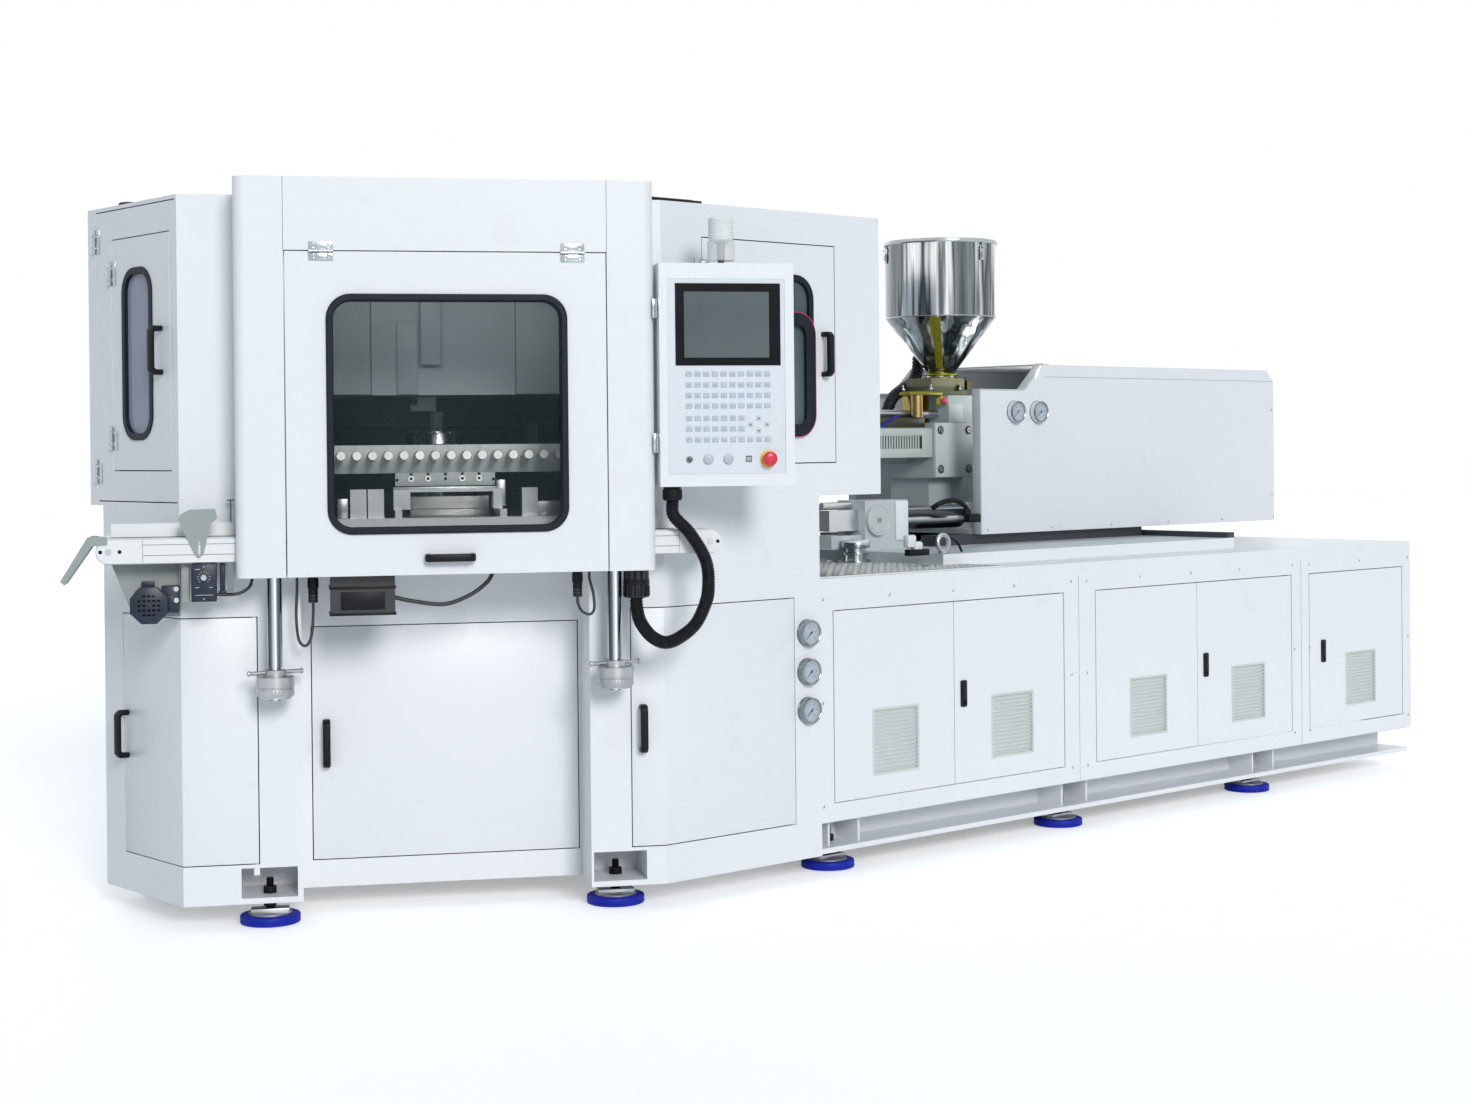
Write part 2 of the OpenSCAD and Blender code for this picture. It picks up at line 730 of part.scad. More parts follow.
// A leaf and a pin beside a door's hinge edge at x
module side_hinge(x, z) {
    box(x - gap - 28, x - gap, -3, 0, z - 34, z + 34);
    translate([x - gap / 2, -axis_out, z - 34])
        cylinder(h = 68, d = pin_d);
}
module side_window_door() placed() color(white) left_face() {
    windowed(side_x0, side_x1, upper_door_z0, upper_door_z1, side_win_x, upper_win_z, side_win_w,
        upper_win_h, side_r, door_t);
    translate([side_win_x + side_win_w / 2 + 16, 0, 1564])
        pull();
}
module side_window() placed() color(glass) left_face()
    pane(side_win_x, upper_win_z, side_win_w, upper_win_h, side_r, door_t);
right_win_mid = right_win_x1 - 92 - right_win_w / 2;
module right_door() placed() color(white) front_face() {
    windowed(right_win_x0, right_win_x1, upper_door_z0, upper_door_z1, right_win_mid,
        upper_win_z - 7, right_win_w, upper_win_h, side_r, door_t);
    translate([right_win_x1 - 32, 0, 1560])
        pull();
}
module right_window() placed() color(glass) front_face()
    pane(right_win_mid, upper_win_z - 7, right_win_w, upper_win_h, side_r, door_t);
module hinge_leaves() placed() color(steel) {
    on_housing()
        for (s = hinge_s) {
            hinge_half(s, 0, hinge_leaf);
            translate([s - hinge_w / 2, -axis_out, header_z])
                rotate([0, 90, 0])
                    cylinder(h = hinge_w, d = pin_d);
        }
    left_face()
        for (z = [1290, 1970])
            side_hinge(-frame_door_y, z);
    front_face()
        for (z = door_hinge_z)
            side_hinge(right_win_x0, z);
    on_housing()
        for (z = [1330, 1712]) {
            box(house_s1 - 38, house_s1 + 5, -3, 0, z, z + 54);
            translate([house_s1 + 5, -6, z])
                cylinder(h = 54, d = pin_d);
        }
}

// ---- Control box ------------------------------------------------------------
module on_box() station() translate([box_s0, -box_o, box_z0]) children();
key_z = [319, 288, 258, 228, 193, 163, 132];
stem_d = 20;
button_x = [84, 139, 197, 314];
button_z = 77;
beacon_x = 190;
beacon_d = 78;
module control_box() placed() color(white) on_box() {
    difference() {
        box(0, box_w, 0, box_d, 0, box_h);
        box(24, box_w - 27, -1, 3, 35, box_h - 45);
        for (x = button_x)
            translate([x, 0, button_z])
                rotate([-90, 0, 0])
                    cylinder(h = 40, d = stem_d + 0.3);
        box(47, 351, 2, 8, 344, 577);
    }
    for (c = [0:9], r = [0:6])
        if (!(r > 3 && r < 6 && c > 6))
            translate([84 + c * 25.3, 0, key_z[r]])
                box(-9, 9, 0.6, 3, -7, 8);
    for (p = [[0, 16], [-24, -2], [24, -2], [0, -20]])
        translate([286 + p[0], 0, 175 + p[1]])
            box(-7, 7, 0.6, 3, -7, 7);
    box(247, 265, 0.5, 3, 68, 86);
    translate([42, 50, -40])
        cylinder(h = 40, d = 54, $fn = 12);
    translate([beacon_x, 50, box_h])
        cylinder(h = 10, d = 60);
}
module control_screen() placed() color([0.2, 0.23, 0.25]) on_box()
    box(47, 351, 1.5, 8, 344, 577);
module push_button(x, d, seat, out) translate([x, 0, button_z]) rotate([90, 0, 0]) {
    translate([0, 0, seat])
        cylinder(h = out - seat, d = d);
    translate([0, 0, -30])
        cylinder(h = 31 + seat, d = stem_d);
}
module emergency_stop() placed() color("red") on_box() push_button(button_x[3], stop_d, 4, 32);
module start_button() placed() color("silver") on_box() push_button(button_x[1], button_d, 1, 9);
module stop_button() placed() color("silver") on_box() push_button(button_x[2], button_d, 1, 9);
module key_switch() placed() color(steel) on_box() {
    push_button(button_x[0], button_d, -3, 5);
    translate([button_x[0], 0, button_z])
        box(-2, 2, -22, -4, -9, 9);
}
module signal_beacon() placed() color(glass) on_box() translate([beacon_x, 50, box_h + 10]) {
    cylinder(h = 60, d = beacon_d);
    translate([0, 0, 60])
        cylinder(h = 64, d = beacon_d - 6);
}

// ---- Conveyor ---------------------------------------------------------------
belt_o0 = belt_o1 - belt_w;
rail_t = 10;
roller_d = belt_h - 2;
roller_in = belt_h / 2;
axle_d = 16;
belt_mid = belt_z + belt_h / 2;
belt_top = belt_z + belt_h;
// A loop round two rollers, seen from the side
module side_loop(r) {
    for (s = [belt_s0 + roller_in, belt_s1 - roller_in])
        translate([s, belt_mid])
            circle(r);
    translate([belt_s0 + roller_in, belt_mid - r])
        square([belt_s1 - belt_s0 - 2 * roller_in, 2 * r]);
}
module conveyor_frame() placed() color(steel) station() {
    difference() {
        for (y = [-belt_o1, -belt_o0 - rail_t])
            translate([0, y, 0])
                upright(0, rail_t)
                    side_loop(belt_h / 2);
        for (s = [belt_s0 + roller_in, belt_s1 - roller_in])
            translate([s, -belt_o1 - 1, belt_mid])
                rotate([-90, 0, 0])
                    cylinder(h = belt_w + 2, d = axle_d + 0.3);
    }
    box(belt_s0 + 75, belt_s1 - 75, -belt_o1 + rail_t, -belt_o0 - rail_t, belt_mid - 14, belt_mid + 14);
    box(belt_s0 + 33, belt_s1 - 120, -belt_o0 - rail_t, -belt_o0 - rail_t + 4, belt_top - 12,
        belt_top + guide_h);
    for (s = [house_s0 + 60, house_s1 - 60])
        box(s - 20, s + 20, -belt_o0, 0, belt_mid - 16, belt_mid + 16);
    // Discharge chute: two cheeks on the rails and a sloping floor between them
    translate([belt_s0, 0, belt_top]) {
        for (y = [-belt_o1 - chute_t, -belt_o0])
            upright_at(y, chute_t)
                polygon([[30, 10], [-22, 10], [-chute_reach, -110], [-84, -chute_drop], [-12, -16], [30, -12]]);
        upright_at(-belt_o1 - chute_t, belt_w + 2 * chute_t)
            polygon([[-84, -chute_drop], [-12, -16], [-14, -13], [-86, -chute_drop + 3]]);
    }
    // Fan-shaped sensor bracket and T-shaped stop
    translate([60, -belt_o1 - 4, 0])
        upright(0, 4)
            difference() {
                polygon([[-58, 1160], [-50, 1175], [-26, 1187], [42, 1189], [48, 1162], [30, 1148],
                    [10, 1064], [-3, 1053], [-13, 1062]]);
                translate([-4, 1060])
                    square([6, 40]);
            }
    box(140, 143, -belt_o0 - 6, -belt_o0 - 2, 1130, 1208);
    box(131, 152, -belt_o0 - 16, -belt_o0 + 8, 1208, 1211);
    box(133, 149, -belt_o1, -belt_o1 + rail_t, 958, belt_z);
}
module conveyor_belt() placed() color([0.85, 0.87, 0.88]) station() difference() {
    upright(-belt_o1 + rail_t + 1, -belt_o0 - rail_t - 1)
        side_loop(belt_h / 2 + 3);
    upright(-belt_o1 + rail_t, -belt_o0 - rail_t)
        side_loop(roller_d / 2 + 0.3);
}
module roller(s) placed() color(steel) station() translate([s, 0, belt_mid]) rotate([90, 0, 0]) {
    translate([0, 0, belt_o0 + rail_t + 2])
        cylinder(h = belt_w - 2 * rail_t - 4, d = roller_d);
    translate([0, 0, belt_o0 - 2])
        cylinder(h = belt_w + 4, d = axle_d);
}
module drive_roller() roller(belt_s0 + roller_in);
module idler_roller() roller(belt_s1 - roller_in);
control_s = 36;
control_w = 68;
motor_s = -84;
motor_z = 932;
knob_z = 1000;
module conveyor_motor() placed() color(black) station() {
    upright(-belt_o0 - rail_t, -belt_o0 - rail_t + 4)
        polygon([[motor_s - 100, belt_z], [motor_s + 88, belt_z], [motor_s + 88, 888], [motor_s - 40, 888]]);
    translate([motor_s, -belt_o0 - rail_t, motor_z])
        rotate([90, 0, 0]) {
            cylinder(h = 58, d = motor_d - 8, $fn = 8);
            cylinder(h = 64, d = motor_d - 22);
            translate([0, 0, 64])
                cylinder(h = 20, d = motor_d, $fn = 8);
        }
    difference() {
        union() {
            box(control_s, control_s + control_w, -belt_o1, -belt_o1 + 50, 933, belt_z - 5);
            box(control_s + 10, control_s + control_w - 10, -belt_o1, -belt_o1 + 6, belt_z - 5, belt_z);
        }
        translate([control_s + control_w / 2, -belt_o1 - 1, knob_z])
            rotate([-90, 0, 0])
                cylinder(h = 20, d = 8.6);
    }
}
module speed_knob() placed() color(steel) station()
    translate([control_s + control_w / 2, -belt_o1, knob_z])
        rotate([90, 0, 0]) {
            cylinder(h = 14, d = 20);
            translate([0, 0, -12])
                cylinder(h = 13, d = 8);
        }

// ---- Bed --------------------------------------------------------------------
panel_top = deck_z - deck_lip;
// The post before each door and after the last, and the doors' shares of the rest
bed_posts = [57, 0, 172, 0, 120, 62];
door_shares = [549, 554, 580, 593, 652];
function sum(v, n) = n == 0 ? 0 : v[n - 1] + sum(v, n - 1);
door_unit = (bed_l - base_l - sum(bed_posts, 6)) / sum(door_shares, 5);
// How far a ventilation panel stands off its door's middle, and a latch from its left edge
vent_shift = [-0.5, 9, 2, 16.5, 24];
latch_in = [0, 43, 0, 49, 90];
// Left and right edge, ventilation panel and latch of each door
bed_doors = [for (i = [0:4])
    let (x0 = base_l + sum(bed_posts, i + 1) + sum(door_shares, i) * door_unit,
        x1 = x0 + door_shares[i] * door_unit)
    [x0, x1, (x0 + x1) / 2 + vent_shift[i], latch_in[i] > 0 ? x0 + latch_in[i] : 0]];
bed_openings = [[bed_doors[0][0], bed_doors[1][1]], [bed_doors[2][0], bed_doors[3][1]],
    [bed_doors[4][0], bed_doors[4][1]]];
bed_hinge_x = [for (i = [0:4]) i == 0 || i == 2 ? bed_doors[i][0] + gap / 2 + pivot_in :
    bed_doors[i][1] - gap / 2 - pivot_in];
module bed_frame() placed() color(white) {
    difference() {
        box(base_l, bed_l, -half_w, half_w, panel_z, panel_top);
        box(base_l + sheet, bed_l - sheet, -half_w + sheet, half_w - sheet, panel_z - 1, panel_top + 1);
        for (o = bed_openings)
            box(o[0] - gap, o[1] + gap, -half_w - 1, -half_w + sheet + 1, bed_door_z0 - gap, bed_door_z1 + gap);
    }
    front_face()
        for (x = bed_hinge_x)
            pivots(x, pivot_in, bed_door_z0, bed_door_z1);
    for (x = [base_l + 60:740:bed_l - 100])
        box(x, x + 60, -half_w + sheet, half_w - sheet, panel_top - 30, deck_z - sheet);
    for (side = [0, 1])
        mirror([0, side, 0]) {
            difference() {
                box(base_l, bed_l, -half_w + beam_back, -half_w + beam_back + beam_d, base_z, panel_z);
                box(base_l - 1, bed_l + 1, -half_w + beam_back - 1, -half_w + beam_back + beam_d - 8,
                    base_z + floor_t, panel_z - 12);
                foot_holes();
            }
            box(base_l, bed_l, -half_w, -half_w + beam_back + 1, panel_z - 6, panel_z);
            for (p = foot_spots, g = [-70, 62])
                if (p[0] > base_l)
                    box(p[0] + g, p[0] + g + 8, -half_w + beam_back + 30, -half_w + beam_back + beam_d - 7,
                        base_z + floor_t - 1, panel_z - 11);
        }
}
module deck_plate() placed() color(white) {
    difference() {
        box(base_l, bed_l, -half_w, half_w, panel_top, deck_z);
        box(base_l - 1, bed_l - sheet, -half_w + sheet, half_w - sheet, panel_top - 1, deck_z - sheet);
    }
    // Checker plate
    difference() {
        box(base_l, plate_x0 + 100, -half_w + 30, half_w - 30, deck_z, deck_z + 4);
        box(plate_x0, plate_x0 + 101, -plate_y, plate_y, deck_z - 1, deck_z + 5);
    }
    translate([plate_x0 - 60, -350, deck_z + 3])
        cylinder(h = 56, d = 70);
    translate([plate_x0 - 60, -350, deck_z + 58])
        cylinder(h = 24, d = 100);
}
module bed_door(i) placed() color(white) front_face() {
    d = bed_doors[i];
    difference() {
        box(d[0] + gap / 2, d[1] - gap / 2, 0, door_t, bed_door_z0, bed_door_z1);
        box(d[2] - vent_w / 2, d[2] + vent_w / 2, -1, 6, vent_z - vent_w / 2, vent_z + vent_w / 2);
        pivot_holes(bed_hinge_x[i], pivot_in, bed_door_z0, bed_door_z1);
    }
    for (i = [0:slats - 1])
        box(d[2] - vent_w / 2, d[2] + vent_w / 2, 0, 7, vent_z - vent_w / 2 + (i + 0.2) * vent_w / slats,
            vent_z - vent_w / 2 + (i + 0.7) * vent_w / slats);
    if (d[3] > 0)
        box(d[3] - 14, d[3] + 14, -7, 0, 478, 566);
}
vent_z = 400;
module bed_door_1() bed_door(0);
module bed_door_2() bed_door(1);
module bed_door_3() bed_door(2);
module bed_door_4() bed_door(3);
module bed_door_5() bed_door(4);

// ---- Pressure gauges --------------------------------------------------------
gauge_t = 24;
module gauge() rotate([90, 0, 0]) difference() {
    cylinder(h = gauge_t, d = gauge_d);
    translate([0, 0, gauge_t - 4])
        cylinder(h = 5, d = gauge_d - 10);
}
module pressure_gauges() placed() color(steel) front_face()
    for (z = [527, 647, 767])
        translate([base_l - 58, 0, z])
            gauge();

// ---- Injection unit ---------------------------------------------------------
plate_x0 = 2600;
plate_x1 = 4250;
plate_y = 715;
plate_z = deck_z + 40;
cylinder_y = 250;
cylinder_z = 1078;
cylinder_d = 86;
bracket_x0 = 2617;
bracket_x1 = 2831;
rod2_d = 50;
module along_x(x, y, z) translate([x, y, z]) rotate([0, 90, 0]) children();
module injection_bed() placed() color(cool_white) {
    box(plate_x0, plate_x1, -plate_y, plate_y, deck_z, plate_z);
    box(plate_x1 - 43, plate_x1, -plate_y, plate_y, plate_z - 1, plate_z + 22);
    for (side = [0, 1])
        mirror([0, side, 0]) {
            box(cover_x0 - 200, plate_x1 - 60, -310, -230, plate_z - 1, cover_z0);
            difference() {
                union() {
                    box(bracket_x0, bracket_x1, -320, -180, plate_z - 1, 1148);
                    translate([bracket_x0 + 56, -319, 1078])
                        rotate([90, 0, 0])
                            cylinder(h = 14, d = 110);
                    box(2470, bracket_x0 + 1, -300, -200, plate_z + 12, 1026);
                    box(2470, bracket_x0 + 1, -290, -210, 1042, 1116);
                    along_x(2470, -cylinder_y, 1132)
                        cylinder(h = bracket_x0 - 2469, d = 24);
                    along_x(bracket_x1 - 1, -cylinder_y, cylinder_z)
                        cylinder(h = 3170 - bracket_x1, d = cylinder_d);
                }
                along_x(bracket_x1 + 20, -cylinder_y, cylinder_z)
                    cylinder(h = 3170 - bracket_x1, d = rod2_d + 0.6);
            }
        }
    // Lifting eye
    translate([2642, -plate_y + 40, plate_z - 1]) {
        cylinder(h = 8, d = 36);
        translate([0, 5, 38])
            rotate([90, 0, 0])
                difference() {
                    cylinder(h = 10, d = 66);
                    translate([0, 0, -1])
                        cylinder(h = 12, d = 44);
                }
    }
}
low_x1 = 3442;
roof_x0 = 3549;
block_x0 = 3155;
block_x1 = 3370;
slide_x0 = 3200;
slide_x1 = 3416;
slide_z0 = 1533;
slide_z1 = 1600;
gate_z0 = 1569;
gate_z1 = 1575;
drain_x = 3238;
drain_y = 25;
drain_d = 61;
throat_d = 80;
module injection_cover() placed() color(white) {
    difference() {
        box(cover_x0, cover_x1, -cover_y, cover_y, cover_z0, cover_z1);
        box(cover_x0 - 1, cover_x1 - sheet, -cover_y + sheet, cover_y - sheet, cover_z0 + 20, cover_z1 - sheet);
        upright(-cover_y - 1, cover_y + 1) {
            polygon([[cover_x0 - 1, cover_low], [low_x1, cover_low], [roof_x0, cover_z1 + 1],
                [cover_x0 - 1, cover_z1 + 1]]);
            polygon([[cover_x1 + 1, cover_z1 - 50], [cover_x1 + 1, cover_z1 + 1], [cover_x1 - 50, cover_z1 + 1]]);
        }
    }
    translate([0, -cover_y, 0])
        for (x = [3383, 3512])
            translate([x, 0, 1466])
                gauge();
    for (y = [-cylinder_y, cylinder_y]) {
        along_x(2980, y, cylinder_z)
            cylinder(h = cover_x0 + 20 - 2980, d = rod2_d);
        box(cover_x0 + 10, cover_x0 + 50, y - 60, y + 60, cover_z0 + 19, cylinder_z + 50);
    }
}
module barrel() placed() color(cool_white) difference() {
    union() {
        along_x(turret_x + mould_r1 + 64, 0, barrel_z)
            cylinder(h = 70, d1 = 36, d2 = barrel_d - 30);
        along_x(turret_x + mould_r1 + 133, 0, barrel_z)
            cylinder(h = block_x0 + 1 - turret_x - mould_r1 - 133, d = barrel_d - 24);
        for (x = [1890:150:2900])
            along_x(x, 0, barrel_z)
                cylinder(h = 110, d = barrel_d);
        // Feed block on its foot, with the hopper's slide base above
        box(block_x0, block_x1, -150, 150, 1220, 1428);
        box(block_x0 + 20, block_x1 + 30, -100, 100, cover_z0 + 20, 1221);
        box(3265, block_x1 + 30, -120, 120, 1427, slide_z0 + 1);
        box(slide_x0, slide_x1 - 16, -92, 92, slide_z0, slide_z0 + 18);
        box(slide_x0 + 30, slide_x1, -66, 66, slide_z0 + 17, slide_z1);
        translate([drain_x, drain_y, 1427])
            cylinder(h = slide_z0 - 1426, d = drain_d);
        // Tie tube over the barrel
        along_x(2860, -60, 1462)
            cylinder(h = 3266 - 2860, d = 30);
    }
    along_x(turret_x + mould_r1 + 60, 0, barrel_z)
        cylinder(h = 100, d = 10);
    along_x(turret_x + mould_r1 + 120, 0, barrel_z)
        cylinder(h = 1700, d = screw_core_d + 0.6);
    translate([hopper_x, 0, barrel_z])
        cylinder(h = slide_z1 + 1 - barrel_z, d = throat_d);
    box(slide_x0 + 60, slide_x1 + 1, -53, 53, gate_z0, gate_z1 + 0.5);
}
module feed_screw() placed() color(steel) {
    along_x(turret_x + mould_r1 + 140, 0, barrel_z)
        cylinder(h = 3560 - turret_x - mould_r1 - 140, d = screw_core_d);
}
module hopper_gate() placed() color([0.8, 0.3, 0.35]) {
    box(hopper_x - 46, 3440, -52, 52, gate_z0, gate_z1);
    box(3438, 3462, -60, 60, gate_z0 - 12, gate_z1 + 14);
}
cone_top = hopper_top - hopper_wall;
hopper_t = 3;
module hopper() placed() color(steel) translate([hopper_x, 0, 0]) rotate_extrude($fn = 72)
    polygon([[throat_d / 2, slide_z1], [58, slide_z1], [58, hopper_z], [throat_d / 2 + hopper_t, hopper_z],
        [hopper_d / 2, cone_top], [hopper_d / 2, hopper_top - 12], [hopper_d / 2 + 5, hopper_top - 12],
        [hopper_d / 2 + 5, hopper_top], [hopper_d / 2 - hopper_t, hopper_top],
        [hopper_d / 2 - hopper_t, cone_top], [throat_d / 2, hopper_z]]);
module hopper_lid() placed() color(steel) translate([hopper_x, 0, hopper_top]) {
    cylinder(h = 4, d = hopper_d + 2);
    translate([0, 0, 3])
        cylinder(h = 5, d = 60);
    translate([-20, hopper_d / 2 + 2, 0])
        rotate([0, 90, 0])
            translate([-4, 0, 0])
                cylinder(h = 40, d = 8);
}

// ---- Cables -----------------------------------------------------------------
// A tube swept along a smooth line through the route's points
function along(a, b, c, d, t) =
    b + (c - a) * t / 2 + (2 * a - 5 * b + 4 * c - d) * t * t / 2 + (3 * b - a - 3 * c + d) * t * t * t / 2;
function smooth(p, n) = let (m = len(p) - 1) [for (i = [0:m - 1], k = [0:n - 1])
    along(i == 0 ? 2 * p[0] - p[1] : p[i - 1], p[i], p[i + 1], i == m - 1 ? 2 * p[m] - p[m - 1] : p[i + 2],
        k / n), p[m]];
function unit(v) = v / norm(v);
function tangent(p, i) = unit(i == 0 ? p[1] - p[0] : i == len(p) - 1 ? p[i] - p[i - 1] : p[i + 1] - p[i - 1]);
function ring(c, t, r, sides) = let (u = unit(cross(t, [0, 1, 0])), v = cross(t, u))
    [for (k = [0:sides - 1]) c + r * (cos(360 * k / sides) * u + sin(360 * k / sides) * v)];
module cable(route, d, n, first, last, sides = 8) {
    p = smooth(route, n);
    m = len(p) - 1;
    points = [for (i = [0:m]) each ring(p[i], i == 0 ? first : i == m ? last : tangent(p, i), d / 2, sides)];
    polyhedron(points, concat([[for (k = [0:sides - 1]) k]],
        [for (i = [0:m - 1], k = [0:sides - 1])
            [i * sides + k, (i + 1) * sides + k, (i + 1) * sides + (k + 1) % sides, i * sides + (k + 1) % sides]],
        [[for (k = [sides - 1:-1:0]) m * sides + k]]));
}
up = [0, 0, 1];
down = [0, 0, -1];
right = [1, 0, 0];
// Routes along the station face: to the right, inwards and up
conduit_route = [[1375, -155, 1193], [1378, -158, 1150], [1421, -175, 1100], [1462, -195, 1024],
    [1466, -215, 950], [1450, -240, 897], [1415, -245, 838], [1355, -215, 795], [1313, -180, 804],
    [1284, -130, 845], [1277, -102, 890], [1277, -100, 917]];
motor_route = [[104, -113, 951], [130, -113, 950], [165, -110, 953], [192, -103, 970], [200, -100, 997]];
left_lead_route = [[321, -75, 997], [321, -75, 960], [318, -75, 880], [325, -75, 815], [345, -75, 800],
    [360, -75, 830], [365, -75, 890], [365, -75, 920]];
right_lead_route = [[1110, -75, 920], [1111, -75, 900], [1122, -75, 878], [1145, -75, 868], [1158, -75, 885],
    [1155, -75, 930], [1145, -75, 970], [1145, -75, 997]];
loom_route = [[590, -75, 930], [640, -75, 918], [729, -75, 907], [800, -75, 930], [850, -75, 965], [870, -75, 997]];
module control_conduit() placed() color(black) station() cable(conduit_route, conduit_d, 2, down, up, 12);
module motor_cable() placed() color(black) station() cable(motor_route, 9, 2, right, up);
module lead_left() placed() color(black) station() cable(left_lead_route, 8, 2, down, up);
module lead_right() placed() color(black) station() cable(right_lead_route, 8, 2, down, up);
module loom_cable() placed() color(black) station() cable(loom_route, 12, 2, right, up);

base_cabinet();
bed_frame();
deck_plate();
foot_pads();
foot_screws();
upper_cabinet();
door_housing();
machine_table();
head_frame();
hinge_leaves();
pressure_gauges();
guide_rods();
turret_column();
turret_head();
core_rods();
injection_clamp();
blow_clamp();
stripper_carriage();
front_door();
front_window();
side_frame_door();
side_window_door();
side_window();
right_door();
right_window();
control_box();
control_screen();
emergency_stop();
start_button();
stop_button();
key_switch();
signal_beacon();
base_door_left();
base_door_centre();
base_door_right();
bed_door_1();
bed_door_2();
bed_door_3();
bed_door_4();
bed_door_5();
conveyor_frame();
conveyor_belt();
drive_roller();
idler_roller();
conveyor_motor();
speed_knob();
adjuster_left();
adjuster_right();
injection_bed();
injection_cover();
barrel();
feed_screw();
hopper();
hopper_lid();
hopper_gate();
control_conduit();
motor_cable();
lead_left();
lead_right();
loom_cable();
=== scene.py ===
import math
import bpy
import bmesh
from mathutils import Matrix, Vector


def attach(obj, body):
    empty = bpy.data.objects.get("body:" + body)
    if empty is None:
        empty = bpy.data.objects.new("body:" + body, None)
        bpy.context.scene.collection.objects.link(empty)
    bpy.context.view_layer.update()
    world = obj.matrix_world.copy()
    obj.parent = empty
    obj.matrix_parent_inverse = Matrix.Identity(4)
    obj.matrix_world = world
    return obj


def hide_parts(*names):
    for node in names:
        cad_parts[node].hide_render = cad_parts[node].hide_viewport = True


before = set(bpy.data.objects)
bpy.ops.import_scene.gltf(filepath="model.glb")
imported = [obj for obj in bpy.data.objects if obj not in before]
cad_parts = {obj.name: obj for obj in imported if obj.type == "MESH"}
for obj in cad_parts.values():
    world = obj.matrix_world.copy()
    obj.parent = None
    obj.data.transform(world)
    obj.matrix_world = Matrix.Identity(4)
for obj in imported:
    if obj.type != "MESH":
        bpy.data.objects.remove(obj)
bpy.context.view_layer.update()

# ---- Camera -----------------------------------------------------------------
# The machine is seen from its left front corner, at chest height and nearly level,
# with a slightly long lens. The shift keeps the posts upright.
eye = bpy.data.objects.new("camera", bpy.data.cameras.new("camera"))
eye.data.lens = 54.352
eye.data.sensor_width = 36
eye.data.shift_y = -0.0634
turn, tilt, roll = (math.radians(angle) for angle in (48.61, -0.32, -0.56))
ahead = Vector((math.cos(turn) * math.cos(tilt), math.sin(turn) * math.cos(tilt), math.sin(tilt)))
aside = Vector((math.sin(turn), -math.cos(turn), 0))
above = aside.cross(ahead)
across = aside * math.cos(roll) + above * math.sin(roll)
above = above * math.cos(roll) - aside * math.sin(roll)
eye.matrix_world = Matrix.Translation((-5.3545, -5.7652, 1.3463)) @ Matrix(
    (across, above, -ahead)).transposed().to_4x4()
bpy.context.scene.collection.objects.link(eye)
bpy.context.scene.camera = eye

# ---- Control conduit --------------------------------------------------------
# A corrugated black plastic conduit carries the control wires from the box's underside
# down to the gland under the post. It is one length of hose, fixed at both ends.

# Two frames in millimetres: the machine's, from the left end of its base on its centre
# line, and the station's, which follows the slanting front
MACHINE = Matrix.Translation((-2.409016, 0.176268, 0)) @ Matrix.Scale(0.001, 4)
STATION = MACHINE @ Matrix.Translation((0, -238, 0)) @ Matrix.Rotation(math.radians(-30), 4, "Z")


class Wire:
    """One value on its way through a finish. The usual signs add its Math nodes."""

    def __init__(self, finish, socket):
        self.finish = finish
        self.socket = socket

    def maths(self, operation, *values):
        return self.finish.maths(operation, *values)

    def __add__(self, other):
        return self.maths("ADD", self, other)

    def __sub__(self, other):
        return self.maths("SUBTRACT", self, other)

    def __rsub__(self, other):
        return self.maths("SUBTRACT", other, self)

    def __mul__(self, other):
        return self.maths("MULTIPLY", self, other)

    def __truediv__(self, other):
        return self.maths("DIVIDE", self, other)

    def __rtruediv__(self, other):
        return self.maths("DIVIDE", other, self)

    def __mod__(self, other):
        return self.maths("FLOORED_MODULO", self, other)

    def __gt__(self, other):
        return self.maths("GREATER_THAN", self, other)

    def __lt__(self, other):
        return self.maths("LESS_THAN", self, other)

    __radd__ = __add__
    __rmul__ = __mul__


